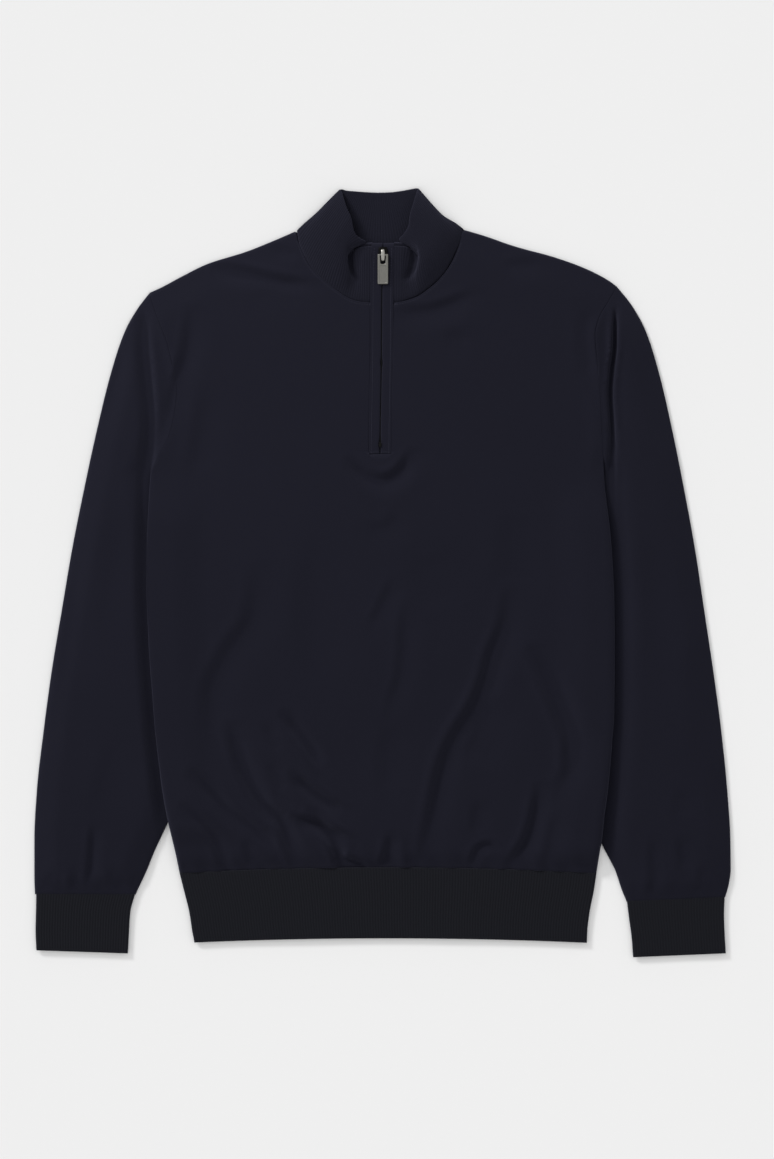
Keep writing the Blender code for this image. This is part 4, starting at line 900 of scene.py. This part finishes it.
COLLAR_FRONT = {
    # x, y of the same points of the outer side
    LEFT: [
        [(-11.2, 265.6), (-10.9, 282), (-10.9, 299), (-10.9, 313), (-10.4, 321.6)],
        [(-19, 266.2), (-19, 283), (-19, 300), (-19.2, 312), (-19.5, 320.9)],
        [(-24.5, 267), (-22.5, 284), (-22.6, 300), (-23.4, 311), (-24.5, 320)],
        [(-30, 268.6), (-27.4, 285), (-29.2, 300.5), (-30.4, 311), (-29, 317.8)],
        [(-34.5, 270.6), (-31.2, 289), (-32.3, 303), (-32.8, 313), (-25, 321.6)],
        [(-39.5, 273.2), (-34, 292), (-33.4, 305), (-32.2, 317.5), (-17.2, 324.8)],
        [(-46, 277.6), (-41, 294), (-38, 308), (-35, 322), (-25.1, 330.2)],
        [(-53, 282.8), (-48, 298), (-42, 313), (-36.5, 327), (-28.8, 336)],
        [(-62.5, 291.1), (-56, 306), (-47, 322), (-38, 337), (-31.2, 347.7)],
        [(-70, 299.8), (-63, 314), (-53, 331), (-43, 347), (-35.9, 358.5)],
        [(-77, 311.9), (-70, 325), (-59.5, 341), (-48, 356.5), (-39, 368)],
        [(-82.5, 326), (-75, 337), (-64, 350), (-51, 364), (-41, 374.6)],
        [(-84.4, 337.2), (-77, 344.2), (-65.5, 354.2), (-52.5, 367.4), (-42.8, 377)],
        [(-82, 336.4), (-75, 343.4), (-64, 353.4), (-51.4, 366.6), (-41.6, 377.4)],
    ],
    RIGHT: [
        [(10.4, 265.4), (10.9, 282), (10.9, 299), (10.9, 313), (11.4, 321.9)],
        [(18, 266.4), (18, 283), (18.2, 300), (18.5, 312), (19, 321.6)],
        [(22.5, 267.8), (20.8, 284), (21.4, 300), (22.8, 311), (24.5, 320.6)],
        [(28.6, 270), (25.6, 286), (28.2, 300.5), (30.4, 311), (29.2, 318.6)],
        [(33.5, 272), (29.8, 290), (31.8, 303), (32.9, 313), (25, 322.2)],
        [(38.5, 275), (33.5, 292.5), (33.6, 305.5), (32.6, 318), (16.8, 327)],
        [(44, 279.2), (40, 295), (37.5, 308.5), (34.5, 322.5), (22.2, 333.4)],
        [(50, 284.4), (46.2, 299.5), (41.6, 314), (36, 328), (26.1, 340.8)],
        [(58.6, 292.5), (53.5, 307.5), (46, 323), (38, 338), (27.5, 350.7)],
        [(66, 303.5), (60, 317), (51, 333), (41.5, 348.5), (30.5, 361)],
        [(72, 316), (65.5, 328), (55.5, 342.5), (44.5, 357), (33, 369.5)],
        [(77.5, 328.5), (70, 338.5), (58.5, 350), (47, 362.5), (35, 375.8)],
        [(80, 338.6), (72, 344.6), (60.5, 351.4), (48.6, 363.4), (35.8, 378.2)],
        [(77.8, 337.6), (70, 343.6), (59, 350.6), (47.6, 362.6), (34.6, 378.3)],
    ],
}
COLLAR_BACK = [
    # base x, base y, rim x, rim y, where it lies flat on the floor, from left to right
    (-70, 331.6, -36, 375.8), (-50, 325, -25, 374.8), (-28, 320, -14, 374.0),
    (-3.4, 318, -3.4, 373.6), (21, 320, 8, 374.0), (43, 325, 19, 375.4), (64, 331.6, 28.5, 377.2),
]
COLLAR_PITCH, COLLAR_RELIEF, COLLAR_WALL = 2.5, 0.38, 2.1  # of its ribs, and of the double layer
COLLAR_LENGTH = 55  # from the seam to the rim, in the knit
COLLAR_SHARES = np.concatenate([[0, 0.03], np.linspace(0.08, 0.94, 11), [0.975, 1]])
FLOOR_GAP = 0.03
BEAK_RISE = 0.4  # how much more the sides of the opening stand up, past 6 mm
ROLLED_RIM = 3.6  # how much further the inner layer reaches at the front, where the rim rolls back
ROLLED_ROWS = [
    # place round the rim, past the rim, below it: the crease in front of the rolled layer
    (0.25, -0.2, 2.3), (0.5, 1.15, 0.5), (0.75, 2.7, 0.5),
]
CRESCENTS = {
    # depth, half width, path of (x, y): where the front of the collar has sunk in
    LEFT: [(3.0, 2.4, [(-31, 322), (-31.6, 311), (-30.4, 300), (-27.6, 293), (-21, 288.5)])],
    RIGHT: [(3.0, 2.4, [(32.6, 322), (32.4, 309), (30.6, 299.5), (26.6, 293), (19.5, 288.5)])],
}


def smooth_columns(keys, rows, at):
    """Each row of points looked up on its smooth curve."""
    return np.stack([np.stack([through(keys, column, at) for column in row.T], 1) for row in rows])


def collar_form():
    """The collar's outer side: its points along and up it, where each column lies along the rim and
    how much of the rolled rim it has."""
    rows = [[(x, y, z) for (x, y), z in zip(line, levels)]
            for line, levels in zip(COLLAR_FRONT[LEFT], COLLAR_LEVELS)]
    for base_x, base_y, rim_x, rim_y in COLLAR_BACK:
        rows.append([(base_x + (rim_x - base_x) * h, base_y + (rim_y - base_y) * h, 0.05)
                     for h in COLLAR_HEIGHTS])
    rows += [[(x, y, z) for (x, y), z in zip(line, levels)]
             for line, levels in zip(COLLAR_FRONT[RIGHT][::-1], COLLAR_LEVELS[::-1])]
    fine = smooth_columns(np.array(COLLAR_HEIGHTS), np.array(rows, float), COLLAR_SHARES)
    reach = np.linalg.norm(np.diff(fine, axis=0), axis=2)
    lengths = np.concatenate([[0], np.cumsum(0.6 * reach[:, 2] + 0.4 * reach[:, -3])])
    at = np.linspace(0, lengths[-1], 6 * round(lengths[-1] / COLLAR_PITCH) + 1)
    grid = smooth_columns(lengths, fine.transpose(1, 0, 2), at).transpose(1, 0, 2)
    rolled = np.maximum(ease(lengths[3], lengths[2], at), ease(lengths[-4], lengths[-3], at))
    return grid, at, rolled


def collar_cloth():
    grid, at, rolled = collar_form()
    up = np.gradient(grid, axis=1)
    along = np.gradient(grid, axis=0)
    for _ in range(3):
        along[1:-1] = (along[:-2] + along[1:-1] + along[2:]) / 3
    normal = np.cross(up, along)
    normal /= np.linalg.norm(normal, axis=2)[..., None]
    up /= np.linalg.norm(up, axis=2)[..., None]
    x, y, z = np.moveaxis(grid, 2, 0)
    z += BEAK_RISE * np.maximum(0, z - 6)
    seam_sink = ease(0.09, 0, COLLAR_SHARES) * (0.2 + 0.8 * ease(-62, -42, x))
    z -= np.where(z > 3, seam_sink, 0)
    sunk = sum(creases(CRESCENTS[side], x.ravel(), y.ravel(), lean=-side * 0.5, ridge=0)
               for side in (LEFT, RIGHT))
    sunk = sunk.reshape(x.shape) * ease(1, 3, z)
    grid = grid - normal * sunk[..., None]
    groove = COLLAR_RELIEF * ribs(at / COLLAR_PITCH)[:, None] * ease(0, 0.06, COLLAR_SHARES)
    groove = groove[..., None]
    outer = grid - normal * groove
    inner = grid - normal * (COLLAR_WALL - groove)
    inner = inner + up * ROLLED_RIM * (rolled[:, None] * ease(0.75, 1, COLLAR_SHARES))[..., None]
    middle = (outer[:, -1] + inner[:, -1]) / 2
    half = np.linalg.norm(outer[:, -1] - inner[:, -1], axis=1)[:, None] / 2
    rim = []
    for turn, above_rim, below_rim in ROLLED_ROWS:
        angle = math.pi * turn
        round_rim = middle + up[:, -1] * half * math.sin(angle) + normal[:, -1] * half * math.cos(angle)
        behind = outer[:, -1] + up[:, -1] * above_rim - normal[:, -1] * below_rim
        rim.append(round_rim + (behind - round_rim) * rolled[:, None])
    outer[:, 0] -= normal[:, 0] * 0.5
    profile = np.concatenate([outer, np.stack(rim, 1), inner[:, ::-1]], 1)
    profile[:, :, 2] = np.maximum(profile[:, :, 2], FLOOR_GAP)
    columns, around = profile.shape[:2]
    v = np.concatenate([COLLAR_SHARES, [1.01, 1.02, 1.03], 2.04 - COLLAR_SHARES[::-1]]) * COLLAR_LENGTH
    places = np.stack([np.repeat(at, around), np.tile(v, columns)], 1)
    faces = bands(columns, around) + caps(columns, around)
    piece = finish_mesh("collar_rib", profile.reshape(-1, 3), faces, COLLAR_RIB, places)
    place_piece(piece, "collar")


# ------------------------------------------------------------ zip
zip_level = curve([(110, 4.9), (125, 5.05), (150, 5.1), (258, 5.1), (265, 5.4), (272, 5.74),
                   (279.5, 5.91), (293.4, 6.49), (307.3, 7.11), (321.2, 7.3)])  # y, height of the cloth
FACING_PROFILE = np.array([
    # out from the zip's middle, above the cloth
    (0.56, -1.55), (0.5, -1.1), (0.52, -0.6), (0.7, -0.15), (1.25, 0.12), (2.3, 0.22), (3.6, 0.25),
    (5.2, 0.22), (7.4, 0.2), (8.3, 0.13), (8.9, 0.19), (9.8, 0.22), (10.5, 0.18), (11.0, 0.02),
    (11.3, -0.3), (11.3, -1.55),
])
FACING_SEAM = 8.6  # from the zip's middle out to the row of stitches
ROLL_FROM, ROLL_OVER, ROLL_DROP = 320.2, 5.0, 3.4  # how its top end rolls back: y, length and depth
STOP_Y = 126.5
GAPS = [(206.9, 3.5, 0.8), (STOP_Y, 5, 0.9)]  # y, half length, extra half width where teeth show
TOOTH_SIZE, TOOTH_PITCH, TOOTH_SHIFT = (0.62, 0.36, 0.8, 0.16), 0.95, 0.24
CHAIN_TOP = 306.0  # y, under the slider


def extra_gap(y):
    return sum(wide * np.exp(-((y - at) / reach) ** 2) for at, reach, wide in GAPS)


def swept(name, ys, loop_at, material):
    """A closed strip along y. loop_at gives its (x, z) loop, clockwise seen from its start."""
    loops = [(y, *loop_at(y)) for y in ys]
    rows = [np.column_stack([x, np.full(len(x), y), z]) for y, x, z in loops]
    rings, around = len(rows), len(rows[0])
    return finish_mesh(name, np.concatenate(rows), caps(rings, around) + bands(rings, around), material)


def facing_loop(side, y):
    out, above = FACING_PROFILE.T
    rolled = ROLL_DROP * (1 - bulge(1 - max(0.0, y - ROLL_FROM) / ROLL_OVER))
    end = 1 - 0.35 * (1 - bulge((y - ZIP_END) / 1.2))
    z = zip_level(y) + np.where(above > -1.5, above * end - (1 - end), above) - rolled
    if side == LEFT:  # this edge lies toward the light and stays sharp
        z = np.where((out > 10) & (above > -1), zip_level(y) + 0.2 * end - rolled, z)
    wider = out + ease(6, 1.5, out) * extra_gap(y) + 0.25 * math.sin(y / 19 + side) * ease(8, 11, out)
    x = zip_x(y) + side * wider
    return (x, z) if side == LEFT else (x[::-1], z[::-1])


def facings():
    ys = np.concatenate([np.linspace(ROLL_TOP, ZIP_TOP, 9),
                         np.arange(ZIP_TOP - 1.5, ZIP_END + 2.5, -1.6),
                         ZIP_END + np.array([1.6, 0.9, 0.4, 0])])
    for side, word in SIDES:
        piece = swept(f"placket_{word}_cloth", ys, partial(facing_loop, side), JERSEY)
        place_piece(piece, f"placket_{word}")


def tape_loop(y):
    x = zip_x(y) + np.array([7.5, 7.5, 3.2, 0, -3.2, -7.5, -7.5])
    return x, zip_level(y) - 1.9 + np.array([-0.6, -0.05, 0, 0.05, 0, -0.05, -0.6])


def tape():
    piece = swept("zip_tape_cloth", np.arange(ZIP_TOP - 1, ZIP_END + 1, -3.0), tape_loop, TAPE)
    place_piece(piece, "zip_tape")


def block(half_x, half_y, height, edge, middle):
    """A block with chamfered upper edges: its points and faces."""
    points = []
    for z, less in ((0, 0), (height - edge, 0), (height, edge)):
        for sx, sy in ((-1, -1), (1, -1), (1, 1), (-1, 1)):
            points.append((sx * (half_x - less), sy * (half_y - less), z))
    return np.array(points) + middle, caps(3, 4) + bands(3, 4)


def scattered(name, shapes, material, smooth=False):
    """One mesh of many small shapes: each is (points, faces) already in place."""
    points, faces, start = [], [], 0
    for spots, sides in shapes:
        points.append(spots)
        faces += [tuple(start + i for i in face) for face in sides]
        start += len(spots)
    return finish_mesh(name, np.concatenate(points), faces, material, smooth=smooth)


def teeth():
    shapes = []
    for i, y in enumerate(np.arange(CHAIN_TOP, STOP_Y + 3.0, -TOOTH_PITCH)):
        x = float(zip_x(y)) + (TOOTH_SHIFT if i % 2 else -TOOTH_SHIFT)
        level = zip_level(y) - 1.75 + 0.9 * extra_gap(y)
        shapes.append(block(*TOOTH_SIZE, (x, y, float(level))))
    # the teeth are drawn in the near-black metal with painted shade
    place_piece(scattered("zip_teeth", shapes, PAINTED_SHADE_TEETH), "zip_chain")


def stop_piece():
    x, level = float(zip_x(STOP_Y)), float(zip_level(STOP_Y)) + 0.55
    shapes = [block(1.3, 0.62, 0.6, 0.22, (x, STOP_Y + dy, level - 0.1)) for dy in (-1.6, 0, 1.6)]
    shapes.append(block(0.75, 2.4, 0.45, 0.15, (x, STOP_Y, level - 0.2)))
    # the stop is drawn in the same near-black metal with painted shade
    place_piece(scattered("bottom_stop", shapes, PAINTED_SHADE_TEETH), "zip_stop")


# ------------------------------------------------------------ stitches
def capsule(start, end, radius, sides=6):
    """A short rounded thread from one point to another."""
    start, end = np.array(start, float), np.array(end, float)
    way = (end - start) / np.linalg.norm(end - start)
    across = np.cross(way, (0, 0, 1.0))
    across /= np.linalg.norm(across)
    over = np.cross(across, way)
    tip = way * radius * 0.8
    middle = (start + end) / 2
    rings = [(start - tip, 0.35), (start, 1.0), (middle, 1.12), (end, 1.0), (end + tip, 0.35)]
    points = []
    for centre, size in rings:
        for i in range(sides):
            turn = 2 * math.pi * i / sides
            points.append(centre + radius * size * (math.cos(turn) * across + math.sin(turn) * over))
    return np.array(points), bands(len(rings), sides) + caps(len(rings), sides)


def unit_ways(line):
    ahead = np.gradient(line, axis=0)
    return ahead / np.hypot(*ahead.T)[:, None]


def stitches(name, lines):
    """Runs of stitches. Each line is (points in x and y, height at a point, pitch, length, radius)."""
    shapes = []
    for path, level, pitch, length, radius in lines:
        spots = run(path, pitch)
        for spot, way in zip(spots, unit_ways(spots)):
            a, b = spot - way * length / 2, spot + way * length / 2
            shapes.append(capsule((*a, level(*a)), (*b, level(*b)), radius))
    place_piece(scattered(name, shapes, THREAD, True), None)


def seam_stitches():
    stitches("neck_stitches", [
        ((np.array(NECK[side]) + (side * 0.2, -1.3))[:-1],
         lambda x, y: float(front_top(x, y)[0]) - 0.12, 2.6, 1.1, 0.24) for side in (LEFT, RIGHT)])
    lines = []
    end_x, end_y = float(zip_x(ZIP_END)), ZIP_END + 1.5
    for side in (LEFT, RIGHT):
        ys = np.linspace(ZIP_END + 1.2, ZIP_TOP - 2.5, 30)
        lines.append((np.stack([zip_x(ys) + side * FACING_SEAM, ys], 1),
                      lambda x, y: float(zip_level(y)) + 0.16, 2.7, 1.7, 0.17))
        lines.append(([(end_x + side * 1.6, end_y), (end_x + side * FACING_SEAM, end_y)],
                      lambda x, y: float(zip_level(y)) + 0.28, 2.4, 1.6, 0.17))
    stitches("placket_stitches", lines)


# ------------------------------------------------------------ slider and pull tab
PIVOT_Y, PIVOT_Z = 312.6, 10.269
PLATE_LOW, PLATE_WALL = 7.99, 1.1
PLATE_HALF = [(306.0, 2.3), (307.2, 2.75), (309.0, 3.2), (311.0, 4.0), (312.5, 4.35), (318.5, 4.4),
              (319.6, 4.0), (320.3, 3.1)]  # y, half width
BAIL_PATH = [(318.0, -0.3), (317.9, 1.2), (317.2, 2.3), (315.9, 2.75), (312.6, 2.85), (309.2, 2.75),
             (307.7, 2.2), (306.9, 1.1), (306.8, -0.3)]  # y, height over the plate
BAIL_SECTION = [(-1, -0.25), (-0.8, -0.42), (0.8, -0.42), (1, -0.25), (1, 0.2), (0.72, 0.42),
                (-0.72, 0.42), (-1, 0.2)]  # share of the half width, out
TAB_WIDTH, TAB_END_Y, TAB_HALF_WALL = 10.3, 283.9, 0.5
EYE_WIDTH, EYE_END_Y, EYE_TAPER = 5.6, 303.6, 0.86
FIELD_INSET = 1.5  # from the tab's edge in to its sunk field


def bevelled(piece, width):
    modifier = piece.modifiers.new("edges", "BEVEL")
    modifier.width = width * MM
    modifier.segments = 3
    modifier.angle_limit = math.radians(35)
    return piece


def prism(name, outline, low, high, material):
    line = np.array(outline, float)
    if plan_area(line) < 0:
        line = line[::-1]
    points = np.concatenate([np.column_stack([line, np.full(len(line), z)]) for z in (low, high)])
    return finish_mesh(name, points, caps(2, len(line)) + bands(2, len(line)), material)


def slider():
    middle, top = float(zip_x(PIVOT_Y)), PLATE_LOW + PLATE_WALL
    ys = np.concatenate([np.linspace(306, 318.5, 16), np.linspace(318.9, 320.3, 5)])
    half = curve(PLATE_HALF)(ys)
    right, left = np.stack([middle + half, ys], 1), np.stack([middle - half, ys], 1)[::-1]
    # the plate is drawn in the metal with painted shade
    plate = prism("slider_plate", np.concatenate([right, left]), PLATE_LOW, top, PAINTED_SHADE_METAL)
    place_piece(bevelled(plate, 0.32), "zip_slider")
    # the post too is drawn in the metal with painted shade
    foot = [(middle + dx, y) for dx, y in ((-0.55, 314), (0.55, 314), (0.55, 319), (-0.55, 319))]
    post = prism("slider_post", foot, float(zip_level(316)) - 1.5, PLATE_LOW + 0.3, PAINTED_SHADE_METAL)
    place_piece(bevelled(post, 0.15), None)
    line = run([(y, top + over) for y, over in BAIL_PATH], count=29)
    wide = 1.45 + 0.4 * np.sin(math.pi * np.linspace(0, 1, len(line))) ** 2
    points = []
    for (y, z), (out_y, out_z), width in zip(line, left_of(np.gradient(line, axis=0)), wide):
        for across, out in BAIL_SECTION:
            points.append((middle + across * width, y - out_y * out, z - out_z * out))
    faces = bands(len(line), len(BAIL_SECTION)) + caps(len(line), len(BAIL_SECTION))
    # the bail is drawn in the metal with the painted highlight
    place_piece(finish_mesh("slider_bail", points, faces, PAINTED_HIGHLIGHT_METAL), None)


def rounded(corners, steps=5):
    """A closed outline of (x, y, corner radius) with its corners rounded."""
    found = []
    for i, (x, y, radius) in enumerate(corners):
        here = np.array((x, y))
        before = np.array(corners[i - 1][:2]) - here
        after = np.array(corners[(i + 1) % len(corners)][:2]) - here
        before /= np.hypot(*before)
        after /= np.hypot(*after)
        for t in np.linspace(0, 1, steps):
            a, b = here + before * radius * (1 - t), here + after * radius * t
            found.append(a + (b - a) * t)
    return np.array(found)


def ring(line, shrink, z):
    """A level loop, moved towards its middle."""
    inward = left_of(np.roll(line, -1, 0) - np.roll(line, 1, 0))
    toward = np.sign(((line.mean(0) - line) * inward).sum(1).sum())
    return np.column_stack([line + inward * shrink * toward, np.full(len(line), z)])


def flat_between(points, starts, around):
    """Triangles that fill the flat between an outer loop and the loops inside it."""
    spots, loops, names = [], [], []
    for start in starts:
        line = points[start:start + around, :2]
        order = list(range(around))
        if (start == starts[0]) != (plan_area(line) > 0):
            order.reverse()
        loops.append([len(spots) + i for i in order])
        spots += [Vector(p) for p in line]
        names += list(range(start, start + around))
    _, _, faces, _, _, _ = delaunay_2d_cdt(spots, [], loops, 1, 1e-6)
    spots = np.array(spots)
    centres = np.array([spots[list(face)].mean(0) for face in faces])
    in_hole = np.any([inside(spots[loop], centres) for loop in loops[1:]], axis=0)
    return [tuple(names[i] for i in face) for face, hole in zip(faces, in_hole) if not hole]


def mend_normals(piece):
    made = bmesh.new()
    made.from_mesh(piece.data)
    bmesh.ops.recalc_face_normals(made, faces=made.faces)
    made.to_mesh(piece.data)
    made.free()
    piece.data.set_sharp_from_angle(angle=math.radians(40))


def pull_tab():
    """A flat plate with a raised border and an eye, hung on its bar under the bail, without letters."""
    middle, wall = float(zip_x(PIVOT_Y)), TAB_HALF_WALL
    half, hole = TAB_WIDTH / 2, EYE_WIDTH / 2
    end, eye_end = TAB_END_Y - PIVOT_Y, EYE_END_Y - PIVOT_Y
    outer = rounded([(-half, 0.7, 0.5), (half, 0.7, 0.5), (half, end, 0.9), (-half, end, 0.9)])
    eye = rounded([(-hole, -0.8, 0.3), (hole, -0.8, 0.3), (hole * EYE_TAPER, eye_end, 1.4),
                   (-hole * EYE_TAPER, eye_end, 1.4)])
    side, low, high = half - FIELD_INSET, end + FIELD_INSET, eye_end - 1.6
    field = rounded([(-side, high, 0.6), (side, high, 0.6), (side, low, 0.6), (-side, low, 0.6)])
    around = len(outer)
    border = [ring(outer, 0.28, wall), ring(outer, 0.1, wall - 0.09), ring(outer, 0.0, wall - 0.3),
              ring(outer, 0.0, -wall + 0.3), ring(outer, 0.25, -wall)]
    opening = [ring(eye, -0.25, -wall), ring(eye, 0.0, -wall + 0.3), ring(eye, 0.0, wall - 0.3),
               ring(eye, -0.1, wall - 0.09), ring(eye, -0.28, wall)]
    sunk = [ring(field, 0.0, wall), ring(field, 0.12, wall - 0.08), ring(field, 0.3, wall - 0.3)]
    points = np.concatenate(border + opening + sunk)
    faces = bands(5, around) + bands(5, around, 5) + bands(3, around, 10)
    faces.append(tuple(range(12 * around, 13 * around)))
    faces += flat_between(points, [0, 9 * around, 10 * around], around)
    faces += [face[::-1] for face in flat_between(points, [4 * around, 5 * around], around)]
    rest = float(zip_level(TAB_END_Y)) + 0.7 + wall
    slope = math.atan2(rest + 0.2 - PIVOT_Z, -end)
    c, s = math.cos(slope), math.sin(slope)
    x, y, z = points.T
    points = np.stack([middle + x, PIVOT_Y + y * c + z * s, PIVOT_Z - y * s + z * c], 1)
    piece = finish_mesh("tab_plate", points, faces, STEEL)
    mend_normals(piece)
    place_piece(piece, "pull_tab", body="pull_tab")


# ------------------------------------------------------------ floor, light and camera
FLOOR_Z = -0.0001  # metres, like the places below
FLOOR_CORNERS = [(x, y, FLOOR_Z) for x, y in ((-4, -4), (4, -4), (4, 4), (-4, 4))]
SKY = 0.864
SUN_POWER, SUN_ANGLE, SUN_WAY = 1.98, 9, (-0.63, 0.70, 0.343)
LAMP_POWER, LAMP_SIZE, LAMP_PLACE = 8.5, 0.5, (-0.62, 0.86, 0.72)
LENS, SENSOR = 120, 36  # millimetres
CAMERA_X, CAMERA_Y = 0.0044, -0.0064
PICTURE_HEIGHT = 1.1416  # on the floor, from the picture's top to its bottom


def shining_from(place):
    """The turn of a light that shines from a place to the origin."""
    return Vector(place).to_track_quat("Z", "Y").to_euler()


def surroundings():
    mesh = bpy.data.meshes.new("floor")
    mesh.from_pydata(FLOOR_CORNERS, [], [(0, 1, 2, 3)])
    floor = add_object("floor", mesh)
    paper, tree, shader = new_material("floor")
    fill(tree, shader, {"Base Color": (0.8, 0.8, 0.8, 1), "Roughness": 0.9, "Specular IOR Level": 0.1})
    mesh.materials.append(paper)

    world = bpy.data.worlds.new("studio")
    bpy.context.scene.world = world
    world.use_nodes = True
    fill(world.node_tree, world.node_tree.nodes["Background"], {"Color": (1, 1, 1, 1), "Strength": SKY})
    key = bpy.data.lights.new("key", "SUN")
    key.energy = SUN_POWER
    key.angle = math.radians(SUN_ANGLE)
    add_object("key", key).rotation_euler = shining_from(SUN_WAY)
    soft = bpy.data.lights.new("soft", "AREA")
    soft.size = LAMP_SIZE
    soft.energy = LAMP_POWER
    lamp = add_object("soft", soft)
    lamp.location = LAMP_PLACE
    lamp.rotation_euler = shining_from(LAMP_PLACE)
    cloth_only = bpy.data.collections.new("lit_by_soft")
    for piece in bpy.data.objects:
        if piece.type == "MESH" and piece is not floor:
            cloth_only.objects.link(piece)
    lamp.light_linking.receiver_collection = cloth_only

    lens = bpy.data.cameras.new("camera")
    lens.lens = LENS
    lens.sensor_width = SENSOR
    camera = add_object("camera", lens)
    camera.location = (CAMERA_X, CAMERA_Y, PICTURE_HEIGHT * LENS / SENSOR)
    bpy.context.scene.camera = camera
    bpy.context.scene.view_settings.view_transform = "Standard"


back_cloth()
front_cloth()
sleeve_cloth(LEFT, "sleeve_left_cloth", "sleeve_left")
sleeve_cloth(RIGHT, "sleeve_right_cloth", "sleeve_right")
hem_and_cuffs()
collar_cloth()
facings()
tape()
teeth()
stop_piece()
seam_stitches()
slider()
pull_tab()
surroundings()
